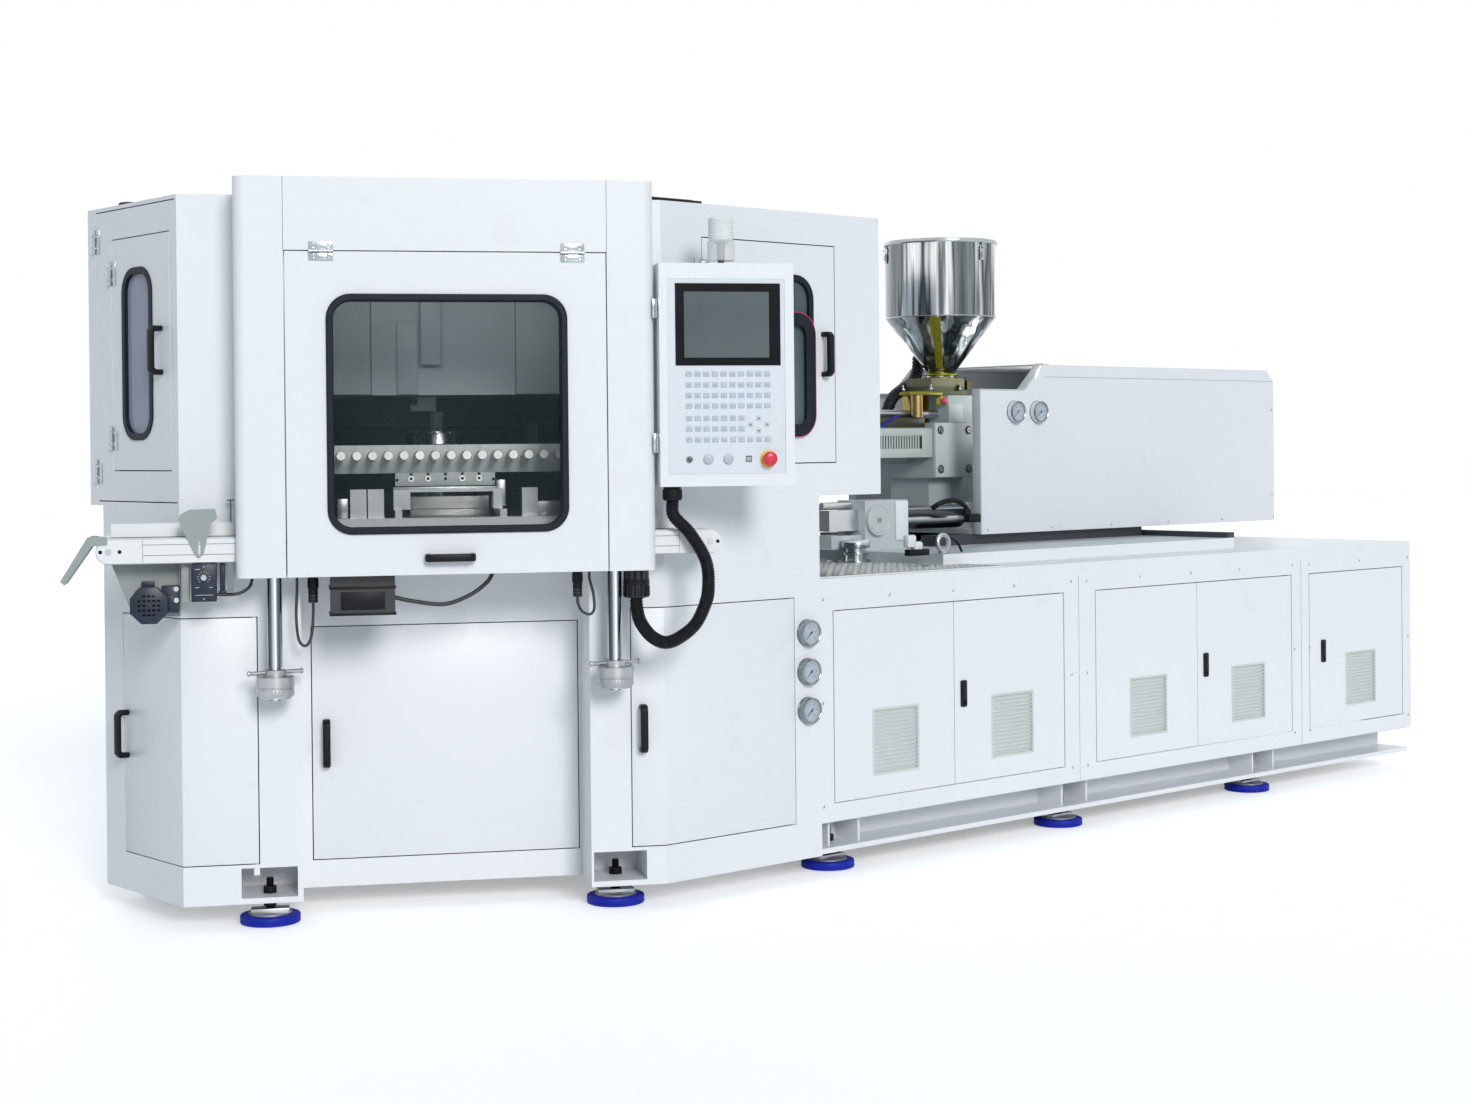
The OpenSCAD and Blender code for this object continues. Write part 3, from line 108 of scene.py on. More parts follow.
class Finish:
    """The surface of one kind of material: its shader and the nodes that feed it."""

    def __init__(self, name, **fixed):
        self.material = bpy.data.materials.new(name)
        self.material.use_nodes = True
        self.tree = self.material.node_tree
        self.shader = self.tree.nodes["Principled BSDF"]
        self.feed(**fixed)
        self.spot = self.add("ShaderNodeTexCoord", out="Object")

    def add(self, kind, settings=None, sockets=None, out=0):
        node = self.tree.nodes.new(kind)
        for name, value in (settings or {}).items():
            if name == "stops":
                while len(node.color_ramp.elements) < len(value):
                    node.color_ramp.elements.new(1)
                for stop, (place, colour) in zip(node.color_ramp.elements, value):
                    stop.position = place
                    stop.color = (*colour, 1)
            else:
                setattr(node, name, value)
        for name, value in (sockets or {}).items():
            self.join(node.inputs[name], value)
        return Wire(self, node.outputs[out])

    def join(self, socket, value):
        if isinstance(value, Wire):
            self.tree.links.new(value.socket, socket)
        elif socket.type == "RGBA" and len(value) == 3:
            socket.default_value = (*value, 1)
        else:
            socket.default_value = value

    def feed(self, **sockets):
        for name, value in sockets.items():
            self.join(self.shader.inputs[name.replace("_", " ")], value)
        return self

    def maths(self, operation, *values):
        return self.add("ShaderNodeMath", {"operation": operation}, dict(enumerate(values)))

    def noise(self, scale, detail=2, stretch=(1, 1, 1)):
        spot = self.add("ShaderNodeMapping", None, {"Vector": self.spot, "Scale": stretch})
        return self.add("ShaderNodeTexNoise", None, {"Vector": spot, "Scale": scale, "Detail": detail})

    def blend(self, mask, first, second):
        return self.add("ShaderNodeMix", {"data_type": "RGBA"}, {0: mask, 6: first, 7: second}, out=2)

    def ramp(self, factor, *stops):
        return self.add("ShaderNodeValToRGB", {"stops": stops}, {"Fac": factor})

    def fed(self, name):
        """What already feeds one of the shader's sockets."""
        links = self.shader.inputs[name].links
        return Wire(self, links[0].from_socket) if links else 0

    def height(self):
        """The height of a point of the surface over the floor, in metres."""
        return self.add("ShaderNodeSeparateXYZ", None, {0: self.spot}, out=2)

    def reach(self, start, direction):
        """How far a point of the surface lies from a start along a direction, in metres."""
        along = self.add("ShaderNodeVectorMath", {"operation": "DOT_PRODUCT"},
                         {0: self.spot, 1: direction}, out="Value")
        return along - Vector(start).dot(direction)

    def bump(self, height, depth, strength=1):
        return self.feed(Normal=self.add(
            "ShaderNodeBump", None, {"Height": height, "Distance": depth, "Strength": strength}))


def drifting(name, cloud, tones, grain=None, **fixed):
    """A material that drifts between two tones. Its grain is a noise, a depth and a strength."""
    finish = Finish(name, **fixed)
    finish.feed(Base_Color=finish.blend(finish.noise(*cloud), *tones))
    if grain:
        finish.bump(finish.noise(*grain[0]), *grain[1:])
    return finish


def smooth_route(points, steps):
    """A line through the points that bends evenly, with so many steps between two of them."""
    points = [Vector(point) for point in points]
    ends = [2 * points[0] - points[1], *points, 2 * points[-1] - points[-2]]
    line = []
    for a, b, c, d in zip(ends, ends[1:], ends[2:], ends[3:]):
        for step in range(steps):
            t = step / steps
            line.append(b + (c - a) * t / 2 + (2 * a - 5 * b + 4 * c - d) * t * t / 2
                        + (3 * b - a - 3 * c + d) * t ** 3 / 2)
    return line + [points[-1]]


def route_length(line):
    return sum((b - a).length for a, b in zip(line, line[1:]))


def make_piece(name, shape, place, finish, body, smooth=35, rounding=0):
    """Turn a shape, in millimetres where it stands, into a piece of the machine."""
    shape.transform(place)
    mesh = bpy.data.meshes.new(name)
    shape.to_mesh(mesh)
    shape.free()
    piece = bpy.data.objects.new(name, mesh)
    bpy.context.scene.collection.objects.link(piece)
    mesh.materials.clear()
    mesh.materials.append(finish.material)
    mesh.shade_smooth()
    mesh.set_sharp_from_angle(angle=math.radians(smooth))
    if rounding:
        bevel = piece.modifiers.new("rounding", "BEVEL")
        bevel.width = rounding / 1000
        bevel.segments = 2
        bevel.limit_method = "ANGLE"
        bevel.angle_limit = math.radians(smooth)
        bevel.harden_normals = True
    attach(piece, body)
    return piece


def hose(line, radii, sides=16):
    """A tube along a line, with a radius for each of its points and closed ends."""
    shape = bmesh.new()
    loops = []
    side = Vector((0, 1, 0))
    for index, point in enumerate(line):
        ahead = (line[min(index + 1, len(line) - 1)] - line[max(index - 1, 0)]).normalized()
        side = (side - side.dot(ahead) * ahead).normalized()
        turned = Matrix((side, ahead.cross(side), ahead)).transposed().to_4x4()
        turned.translation = point
        ring = bmesh.ops.create_circle(shape, segments=sides, radius=radii[index], matrix=turned)
        loops.append(sorted({edge for vert in ring["verts"] for edge in vert.link_edges},
                            key=lambda edge: edge.index))
    for first, second in zip(loops, loops[1:]):
        bmesh.ops.bridge_loops(shape, edges=first + second)
    bmesh.ops.holes_fill(shape, edges=loops[0] + loops[-1], sides=sides)
    bmesh.ops.recalc_face_normals(shape, faces=shape.faces)
    return shape


conduit_route = [(1375, -155, 1193), (1378, -158, 1150), (1421, -175, 1100), (1462, -195, 1024),
                 (1466, -215, 950), (1450, -240, 897), (1415, -245, 838), (1355, -215, 795),
                 (1313, -180, 804), (1284, -130, 845), (1277, -102, 890), (1277, -100, 917)]
conduit_line = smooth_route(conduit_route, 60)
conduit_r = 19
groove = 2.2
rib_pitch = 7.5

conduit_black = Finish("conduit_black", Roughness=0.42, Specular_IOR_Level=0.12)
conduit_black.feed(Base_Color=conduit_black.ramp(
    conduit_black.noise(45, 4), (0.3, (0.005, 0.006, 0.008)), (0.75, (0.016, 0.018, 0.022))))
conduit_black.bump(conduit_black.noise(900), 0.0002, 0.4)


def even(line, spacing):
    """The same line again, with its points at an even spacing."""
    points = [line[0]]
    left = spacing
    for a, b in zip(line, line[1:]):
        reach = (b - a).length
        while reach >= left:
            a = a + (b - a) * (left / reach)
            points.append(a)
            reach = (b - a).length
            left = spacing
        left -= reach
    return points + [line[-1]]


ribbed_line = even(conduit_line, rib_pitch / 4)
ribs = [conduit_r - (groove if index % 4 in (0, 1) else 0) for index in range(len(ribbed_line))]
conduit = make_piece("control_conduit_hose", hose(ribbed_line, ribs, 20), STATION, conduit_black, "frame")
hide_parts("control_conduit")
conduit_path = [STATION @ point for point in smooth_route(conduit_route, 4)]
route_length(conduit_path)

# ---- Leads ------------------------------------------------------------------
# Thin round cables with a soft black sheath: the motor's cable, a plugged lead under each
# post, and the thicker loom that hangs from the power box to the floor of the housing.
sheath = drifting("cable_sheath", (30, 3), ((0.010, 0.011, 0.013), (0.032, 0.033, 0.036)),
                  ((700,), 0.0001, 0.3), Roughness=0.5)
leads = {
    "motor_cable": (9, [(104, -113, 951), (130, -113, 950), (165, -110, 953), (192, -103, 970),
                        (200, -100, 997)]),
    "lead_left": (8, [(321, -75, 997), (321, -75, 960), (318, -75, 880), (325, -75, 815), (345, -75, 800),
                      (360, -75, 830), (365, -75, 890), (365, -75, 920)]),
    "lead_right": (8, [(1110, -75, 920), (1111, -75, 900), (1122, -75, 878), (1145, -75, 868),
                       (1158, -75, 885), (1155, -75, 930), (1145, -75, 970), (1145, -75, 997)]),
    "loom_cable": (12, [(590, -75, 930), (640, -75, 918), (729, -75, 907), (800, -75, 930),
                        (850, -75, 965), (870, -75, 997)])}
for node, (thickness, route) in leads.items():
    line = smooth_route(route, 6)
    tube = hose(line, [thickness / 2] * len(line), 12)
    lead = make_piece(node + "_sheath", tube, STATION, sheath, "frame")
    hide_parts(node)
    path = [STATION @ point for point in smooth_route(route, 4)]
    route_length(path)

# ---- Floor and light --------------------------------------------------------
# The machine stands on a plain white studio floor, lit by four broad lamps and by a small
# one each in its cabinet and its cover. The surroundings show white to the eye and in
# gloss, and light the sides more softly.
floor_shape = bmesh.new()
bmesh.ops.create_grid(floor_shape, x_segments=1, y_segments=1, size=40)
floor_mesh = bpy.data.meshes.new("floor")
floor_shape.to_mesh(floor_mesh)
floor = bpy.data.objects.new("floor", floor_mesh)
bpy.context.scene.collection.objects.link(floor)
floor_white = drifting("floor_white", (0.8, 2), ((0.96, 0.965, 0.97), (0.98, 0.982, 0.985)),
                       Roughness=0.6)
floor_mesh.materials.append(floor_white.material)

world = bpy.data.worlds.new("studio")
world.use_nodes = True
bpy.context.scene.world = world
sky = world.node_tree.nodes["Background"]
sky.inputs["Strength"].default_value = 1


def seen_directly(tree):
    """A mask of 1 for what the eye sees, straight or through glass or in a shine."""
    path = tree.nodes.new("ShaderNodeLightPath")
    mask = path.outputs["Is Camera Ray"]
    for name in ("Is Glossy Ray", "Is Transmission Ray"):
        most = tree.nodes.new("ShaderNodeMath")
        most.operation = "MAXIMUM"
        tree.links.new(mask, most.inputs[0])
        tree.links.new(path.outputs[name], most.inputs[1])
        mask = most.outputs[0]
    return mask


tone = world.node_tree.nodes.new("ShaderNodeMix")
tone.data_type = "RGBA"
tone.inputs[6].default_value = (0.180, 0.236, 0.282, 1)
tone.inputs[7].default_value = (1, 1, 1, 1)
world.node_tree.links.new(seen_directly(world.node_tree), tone.inputs[0])
world.node_tree.links.new(tone.outputs[2], sky.inputs["Color"])
glow = Wire(floor_white, seen_directly(floor_white.tree))
floor_white.feed(Emission_Color=floor_white.blend(glow, (0, 0, 0), (1, 1, 1)), Emission_Strength=0.33)


def hang(name, kind, place, gaze, **settings):
    """A stage lamp at a place, that shines along its gaze."""
    lamp = bpy.data.lights.new(name, kind)
    for setting, value in settings.items():
        setattr(lamp, setting, value)
    holder = bpy.data.objects.new(name, lamp)
    holder.matrix_world = (Matrix.Translation(place)
                           @ Vector(gaze).to_track_quat("-Z", "Y").to_matrix().to_4x4())
    bpy.context.scene.collection.objects.link(holder)


for name, place, strength, spread, colour in (
        ("key_light", (-3.4, -9.2, 4.2), 1.9, 18, (1, 0.985, 0.965)),
        ("side_light", (-9.0, 1.5, 4.0), 0.02, 40, (0.9, 0.95, 1)),
        ("back_light", (4.0, 9.0, 3.0), 0.45, 70, (0.96, 0.98, 1)),
        ("top_light", (1.0, -1.0, 9.0), 0.44, 60, (1, 1, 1))):
    hang(name, "SUN", place, -Vector(place), energy=strength, color=colour, angle=math.radians(spread))
hang("cabin_light", "AREA", STATION @ Vector((740, -90, 1865)), STATION.to_3x3() @ Vector((0, 1, -0.7)),
     shape="RECTANGLE", size=0.8, size_y=0.12, energy=1.2)
hang("cover_light", "AREA", MACHINE @ Vector((3640, -280, 1500)), (-0.35, 1, 0.25), size=0.3, energy=0.9)
bpy.context.scene.view_settings.view_transform = "Standard"

# ---- Levelling feet ---------------------------------------------------------
# Each foot is a blue rubber pad under a zinc-plated disc and bar. A blackened bolt with
# two nuts screws through the floor plate and carries its share of the weight.
def turned(profile, steps=32):
    """A round part, turned on its axis from points of radius and height."""
    shape = bmesh.new()
    points = [shape.verts.new((radius, 0, height)) for radius, height in profile]
    edges = [shape.edges.new(pair) for pair in zip(points, points[1:])]
    bmesh.ops.spin(shape, geom=points + edges, cent=(0, 0, 0), axis=(0, 0, 1), dvec=(0, 0, 0),
                   angle=math.tau, steps=steps, use_merge=True, use_duplicate=False)
    bmesh.ops.remove_doubles(shape, verts=shape.verts, dist=0.001)
    bmesh.ops.recalc_face_normals(shape, faces=shape.faces)
    return shape


def copies(shape, places):
    """One shape repeated at each place, as a single shape."""
    mesh = bpy.data.meshes.new("copy")
    shape.to_mesh(mesh)
    shape.free()
    whole = bmesh.new()
    for place in places:
        count = len(whole.verts)
        whole.from_mesh(mesh)
        whole.verts.ensure_lookup_table()
        bmesh.ops.transform(whole, matrix=place, verts=whole.verts[count:])
    bpy.data.meshes.remove(mesh)
    return whole


def moved(shape, place):
    """A shape after it has gone to its place."""
    shape.transform(place)
    return shape


def joined(*shapes):
    """Several shapes as one."""
    whole = bmesh.new()
    for shape in shapes:
        mesh = bpy.data.meshes.new("part")
        shape.to_mesh(mesh)
        shape.free()
        whole.from_mesh(mesh)
        bpy.data.meshes.remove(mesh)
    return whole


def at(x, y, z, turn=0, axis="Z"):
    return Matrix.Translation((x, y, z)) @ Matrix.Rotation(math.radians(turn), 4, axis)


def plan(points, low, high, rounding=0):
    """A body with the same plan from its bottom to its top."""
    shape = bmesh.new()
    face = shape.faces.new([shape.verts.new((x, y, low)) for x, y in points])
    raised = bmesh.ops.extrude_face_region(shape, geom=[face])["geom"]
    raised = [part for part in raised if isinstance(part, bmesh.types.BMVert)]
    bmesh.ops.translate(shape, verts=raised, vec=(0, 0, high - low))
    bmesh.ops.recalc_face_normals(shape, faces=shape.faces)
    if rounding:
        bmesh.ops.bevel(shape, geom=shape.edges[:], offset=rounding, segments=2, profile=0.5,
                        affect="EDGES", material=-1)
    return shape


def block(x0, x1, y0, y1, z0, z1, rounding=0.8):
    """A rectangular body with its edges broken."""
    return plan([(x0, y0), (x1, y0), (x1, y1), (x0, y1)], z0, z1, rounding)


def prisms(places, sides, radius, height, rounding):
    """Upright prisms, such as nuts, centred at their places."""
    shape = bmesh.new()
    for place in places:
        bmesh.ops.create_cone(shape, cap_ends=True, segments=sides, radius1=radius, radius2=radius,
                              depth=height, matrix=place)
    bmesh.ops.bevel(shape, geom=shape.edges[:], offset=rounding, segments=2, profile=0.5,
                    affect="EDGES", material=-1)
    return shape


def plated(name, colour, rough):
    """Plated or rolled steel with fine streaks and a slightly uneven shine."""
    metal = Finish(name, Metallic=1.0)
    cloud = metal.noise(14, 4)
    metal.feed(Base_Color=metal.blend(cloud, [c * 0.62 for c in colour], colour),
               Roughness=metal.noise(60, 3) * 0.22 + (rough - 0.1))
    return metal.bump(metal.noise(500, 3), 0.00008, 0.3)


pad_blue = drifting("pad_blue", (40, 5), ((0.004, 0.010, 0.26), (0.008, 0.022, 0.44)),
                    ((260, 4), 0.0004, 0.5), Roughness=0.55, Specular_IOR_Level=0.25)
zinc = plated("zinc_plate", (0.50, 0.52, 0.54), 0.36)
MIRRORED = MACHINE @ Matrix.Scale(-1, 4, (0, 1, 0))
foot_places = [STATION @ at(237, 74, 0), STATION @ at(1238, 110, 0)]
foot_places += [MACHINE @ at(x, -800, 0) for x in (1960, 3085, 4200)]
foot_places += [MIRRORED @ MACHINE.inverted() @ place for place in foot_places]
pads = turned([(0, 0), (80, 0), (84, 1.5), (85.5, 5), (85.5, 9), (84.2, 10), (84.2, 14), (85.5, 15),
               (85.5, 21), (83.5, 24.5), (79, 26), (62.2, 26), (61.8, 22.5), (0, 22.5)], 48)
pads = make_piece("rubber_foot_pads", copies(pads, foot_places), Matrix(), pad_blue, "frame")
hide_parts("foot_pads")
discs = joined(turned([(0, 22.2), (61.5, 22.2), (61.5, 29), (60, 31), (33, 34), (0, 34)], 32),
               block(-54, 54, -24, 24, 30, 42, 1.5))
make_piece("foot_plates", copies(discs, foot_places), Matrix(), zinc, "frame")
thread = [(9.6 if step % 2 else 11, 46 + step * 1.5) for step in range(54)]
bolts = joined(turned([(0, 40), (14, 40), (14, 44)] + thread + [(9, 128), (0, 128)], 24),
               prisms([at(0, 0, height) for height in (58, 94)], 6, 21, 20, 1.5))
oxide = plated("black_oxide", (0.030, 0.032, 0.036), 0.45)
bolts = make_piece("levelling_bolts", copies(bolts, foot_places), Matrix(), oxide, "frame")
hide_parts("foot_screws")

# ---- Base cabinet -----------------------------------------------------------
# The base is a welded box of folded sheet, powder-coated white. Its slanting front
# carries the station, with a knee recess below it and a pocket over each foot.
def powder_coat(name, colour, shade=0.93, rough=0.36):
    """Powder coating: a fine orange peel, and tones that drift a little over a sheet."""
    paint = Finish(name, Coat_Roughness=0.2)
    drift = paint.noise(1.3, 3)
    soil = paint.noise(9, 5)
    tone = paint.blend(drift, [c * shade for c in colour], colour)
    paint.feed(Base_Color=paint.blend((soil > 0.66) * 0.05, tone, (0.45, 0.44, 0.42)),
               Roughness=paint.noise(25, 2) * 0.12 + (rough - 0.06))
    return paint.bump(paint.noise(420, 2), 0.0002, 0.16)


def cover_node(node, finish):
    """Give a finish to a solid that stays as the machine's drawing has it."""
    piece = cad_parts[node]
    for place in range(len(piece.data.materials)):
        piece.data.materials[place] = finish.material
    if not piece.data.materials:
        piece.data.materials.append(finish.material)


signal_white = (0.80, 0.82, 0.85)
white = powder_coat("white_powder_coat", signal_white)
base_white = powder_coat("base_powder_coat", signal_white)
cover_node("base_cabinet", base_white)

# ---- Base doors -------------------------------------------------------------
# Three doors of folded sheet close the base: two wrap round its corners and one lies
# at the back of the knee recess. Each has a black cast pull handle.
def folded_sheet(points, thickness):
    """The plan of a sheet that follows the points with its outer face."""
    points = [Vector(point) for point in points]
    inner = []
    for index, point in enumerate(points):
        sides = []
        for a, b in zip(points[max(index - 1, 0):], points[max(index - 1, 0) + 1:index + 2]):
            run = (b - a).normalized()
            sides.append(Vector((-run.y, run.x)))
        bend = sum(sides, Vector((0, 0)))
        inner.append(point + bend * thickness / (bend.dot(sides[0])))
    return points + inner[::-1]


# Stands a plan up: its x becomes depth, its y height
STANDING = Matrix(((0, 0, 1, 0), (1, 0, 0, 0), (0, 1, 0, 0), (0, 0, 0, 1)))


def pull_handle():
    """A square bow that stands out along -Y with its lower end at the origin."""
    length, width, reach, bar, corner, fillet = 140, 22, 42, 16, 12, 4
    half = [(0, 0), (corner - reach, 0), (-reach, corner)]
    inner = [(bar - reach, bar + fillet), (bar + fillet - reach, bar), (0, bar)]
    bow = half + [(x, length - y) for x, y in half[::-1] + inner[::-1]] + inner
    return moved(plan(bow, -width / 2, width / 2, 4.5), STANDING)


handle_black = drifting("cast_handle", (50, 3), ((0.005, 0.006, 0.008), (0.013, 0.015, 0.018)),
                        ((600, 2), 0.0001, 0.35), Roughness=0.4, Specular_IOR_Level=0.14)
front_y = -925
sheet_thickness = 20
FRONT = MACHINE @ at(0, front_y, 0)
LEFT = MACHINE @ at(0, 0, 0, -90)


def on_station(s):
    """A point of the slanting face, as the plan of the whole machine has it."""
    spot = MACHINE.inverted() @ STATION @ Vector((s, 0, 0))
    return spot.x, spot.y


corner = (1189.92, front_y)
left_plan = folded_sheet([(0, 115), (0, -238), on_station(208)], sheet_thickness)
right_plan = folded_sheet([on_station(1275), corner, (1707, front_y)], sheet_thickness)
door_low, door_high = 182, 876
doors = {
    "base_door_left": (plan(left_plan, door_low, door_high, 0.8), MACHINE, LEFT @ at(-90, 0, 457)),
    "base_door_right": (plan(right_plan, door_low, door_high, 0.8), MACHINE, STATION @ at(1307, 0, 457)),
    "base_door_centre": (block(362, 1142, 200, 220, 150, 829), STATION, STATION @ at(402, 200, 420))}
for body, (sheet, place, handle_place) in doors.items():
    panel = make_piece(body + "_panel", sheet, place, white, body)
    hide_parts(body)
    make_piece(body + "_handle", pull_handle(), handle_place, handle_black, body)

# ---- Bed frame --------------------------------------------------------------
# The bed is a long welded frame on two channel beams, clad with white sheets that
# pan-head screws hold along their edges. The deck's front edge is folded down.
def seams(lines, place, body, name):
    """Shadow lines where two sheets meet: (x0, z0, x1, z1) on a face that looks along -Y."""
    strips = [block(x0 - 0.7, x1 + 0.7, -0.25, 1, z0 - 0.7, z1 + 0.7, 0) for x0, z0, x1, z1 in lines]
    return make_piece(name, joined(*strips), place, joint_grey, body)


def screw_heads(spots, place, body, name, radius=5.5):
    """Pan-head screws at (x, z) on a face that looks along -Y."""
    head = turned([(0, 0.9), (radius * 0.35, 0.9), (radius * 0.4, 3), (radius * 0.75, 2.4), (radius, 0.8),
                   (radius, -0.5), (0, -0.5)], 14)
    return make_piece(name, copies(head, [at(x, 0, z, 90, "X") for x, z in spots]), place, zinc, body)


joint_grey = drifting("sheet_joint", (8, 2), ((0.10, 0.11, 0.13), (0.17, 0.18, 0.20)), Roughness=0.8)
cover_node("bed_frame", base_white)
cover_node("deck_plate", base_white)
BACK = MACHINE @ at(0, -front_y, 0, 180)
END = MACHINE @ at(5157, 0, 0, 90)
screw_z = (866, 543, 220)
side_spots = [(x, screw_z[0]) for x in (1831, 2125, 2422, 2721, 3018, 3100, 3397, 3694, 3991, 4330, 4440,
                                        4787, 5136)]
side_spots += [(x, z) for x in (1826, 3018, 3100, 4340, 4440, 5136) for z in screw_z[1:]]
screw_heads(side_spots, FRONT, "frame", "front_sheet_screws")
screw_heads([(-x, z) for x, z in side_spots], BACK, "frame", "back_sheet_screws")
screw_heads([(x, z) for x in (-890, 0, 890) for z in screw_z], END, "frame", "end_sheet_screws")
seams([(x, 175, x, 882) for x in (3059, 4388)], FRONT, "frame", "front_sheet_joints")
seams([(x, 175, x, 882) for x in (-3059, -4388)], BACK, "frame", "back_sheet_joints")

# ---- Bed doors --------------------------------------------------------------
# Five doors of white sheet hang on hidden pivots. A louvre panel of pale green plastic
# in each lets the heat out, and three black swing latches hold them shut.
def outline(x0, x1, z0, z1, radius):
    """Points round a rectangle, with arcs at its corners when there is a radius."""
    if not radius:
        return [(x0, z0), (x1, z0), (x1, z1), (x0, z1)]
    centres = [(x0 + radius, z0 + radius), (x1 - radius, z0 + radius), (x1 - radius, z1 - radius),
               (x0 + radius, z1 - radius)]
    return [(x - radius * math.cos(math.radians(90 * corner + 9 * step)),
             z - radius * math.sin(math.radians(90 * corner + 9 * step)))
            for corner, (x, z) in enumerate(centres) for step in range(11)]


def framed(outer, hole, low, high, outer_r=0, hole_r=0):
    """A plate with one opening, each (x0, x1, z0, z1), between y = low and y = high."""
    shape = bmesh.new()
    loops = []
    for sides, radius in ((outer, outer_r), (hole, hole_r)):
        points = [shape.verts.new((x, high, z)) for x, z in outline(*sides, radius)]
        loops += [shape.edges.new(pair) for pair in zip(points, points[1:] + points[:1])]
    if bool(outer_r) == bool(hole_r):
        faces = bmesh.ops.bridge_loops(shape, edges=loops)["faces"]
    else:
        filled = bmesh.ops.triangle_fill(shape, edges=loops, use_beauty=True)["geom"]
        faces = [part for part in filled if isinstance(part, bmesh.types.BMFace)]
    raised = bmesh.ops.extrude_face_region(shape, geom=faces)["geom"]
    raised = [part for part in raised if isinstance(part, bmesh.types.BMVert)]
    bmesh.ops.translate(shape, verts=raised, vec=(0, low - high, 0))
    bmesh.ops.recalc_face_normals(shape, faces=shape.faces)
    return shape


def louvre(width, height, count, depth):
    """Slats that lean outwards, one over the other, in a square opening."""
    pitch = height / count
    slat = plan([(0, 0), (-depth, -pitch * 0.25), (-depth, -pitch * 0.5), (0, -pitch * 0.55)],
                -width / 2, width / 2, 0.3)
    return copies(moved(slat, STANDING), [at(0, 0, height / 2 - step * pitch) for step in range(count)])


def wider(sides, margin):
    """A rectangle's sides (x0, x1, z0, z1), each moved out by a margin."""
    x0, x1, z0, z1 = sides
    return x0 - margin, x1 + margin, z0 - margin, z1 + margin


vent_green = drifting("louvre_plastic", (6, 3), ((0.56, 0.61, 0.58), (0.63, 0.68, 0.65)),
                      ((500, 2), 0.0001, 0.2), Roughness=0.45)
vent = 208
vent_z = 400
door_low, door_high, door_gap = 228, 827, 1.5
bed_doors = [(1875, 2424, 2149, 0), (2424, 2978, 2710, 2467), (3150, 3730, 3442, 0),
             (3730, 4323, 4043, 3779), (4443, 5095, 4793, 4533)]
for number, (x0, x1, vent_x, latch_x) in enumerate(bed_doors, 1):
    body = "bed_door_%d" % number
    hole = wider((vent_x, vent_x, vent_z, vent_z), vent / 2)
    left, right, low, high = wider(hole, 4)
    sheet = joined(framed((x0 + door_gap, x1 - door_gap, door_low, door_high), hole, 0, sheet_thickness),
                   block(left, right, 8, sheet_thickness, low, high, 0))
    panel = make_piece(body + "_panel", sheet, FRONT, white, body, rounding=0.8)
    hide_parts(body)
    rim = framed(wider(hole, 3), wider(hole, -5), -1.2, 7)
    slats = moved(louvre(vent - 9, vent - 10, 15, 6), at(vent_x, 6.5, vent_z))
    make_piece(body + "_louvre", joined(rim, slats), FRONT, vent_green, body, smooth=25)
    if latch_x:
        latch = joined(framed((-14, 14, 478, 566), (-8, 8, 486, 558), -5, 0, 6, 4),
                       block(-7.4, 7.4, -6.6, 0, 500, 557.4, 1.2), block(-8.2, 8.2, -2, 0, 485, 559, 0.4))
        make_piece(body + "_latch", latch, FRONT @ at(latch_x, 0, 0), handle_black, body, rounding=0.8)

# ---- Deck -------------------------------------------------------------------
# Checker plate covers the deck between the two halves of the machine. A chromed oil
# filler cap stands on it in front of the barrel.
checker = plated("checker_plate", (0.47, 0.50, 0.50), 0.45)
deck_low, deck_high = 930.5, 934.4
raised = checker.reach(MACHINE @ Vector((0, 0, deck_high + 0.4)), Vector((0, 0, 1))) > 0
checker.feed(Base_Color=checker.blend(raised, (0.20, 0.225, 0.23), (0.66, 0.69, 0.69)))
pad_shape = bmesh.new()
bmesh.ops.create_cone(pad_shape, cap_ends=True, segments=4, radius1=7.5, radius2=5, depth=1.0)
pad_shape.transform(Matrix.Diagonal((2.3, 0.6, 1, 1)))
pad_pitch = (30, 29.6)
spots = []
for row in range(28):
    for column in range(60):
        x, y = 1840 + row * pad_pitch[0], -876 + column * pad_pitch[1]
        if x < 2580 or abs(y) > 735:
            spots.append(at(x, y, 935, 90 if (row + column) % 2 else 0))
plates = [block(*sides, deck_low, deck_high, 0.3) for sides in (
    (1822, 2590, -894, 894), (2589, 2698, -894, -718), (2589, 2698, 718, 894))]
make_piece("checker_plate", joined(copies(pad_shape, spots), *plates), MACHINE, checker, "frame", smooth=20)
chrome = plated("chrome", (0.52, 0.57, 0.60), 0.16)
cap = turned([(0, 0), (58, 0), (58, 5), (38, 6), (36, 26), (44, 28), (44, 36), (36, 38), (36, 50), (49, 53),
              (51, 57), (51, 70), (48, 75), (30, 77.5), (29, 80), (12, 80.5), (0, 80.5)], 40)
bolts = copies(turned([(0, 11), (4, 11), (6, 9), (6, 0), (0, 0)], 6),
               [at(50 * math.cos(step), 50 * math.sin(step), 3) for step in (0.4, 1.97, 3.54, 5.11)])
make_piece("oil_filler_cap", joined(cap, bolts), MACHINE @ at(2540, -350, 933), chrome, "frame")

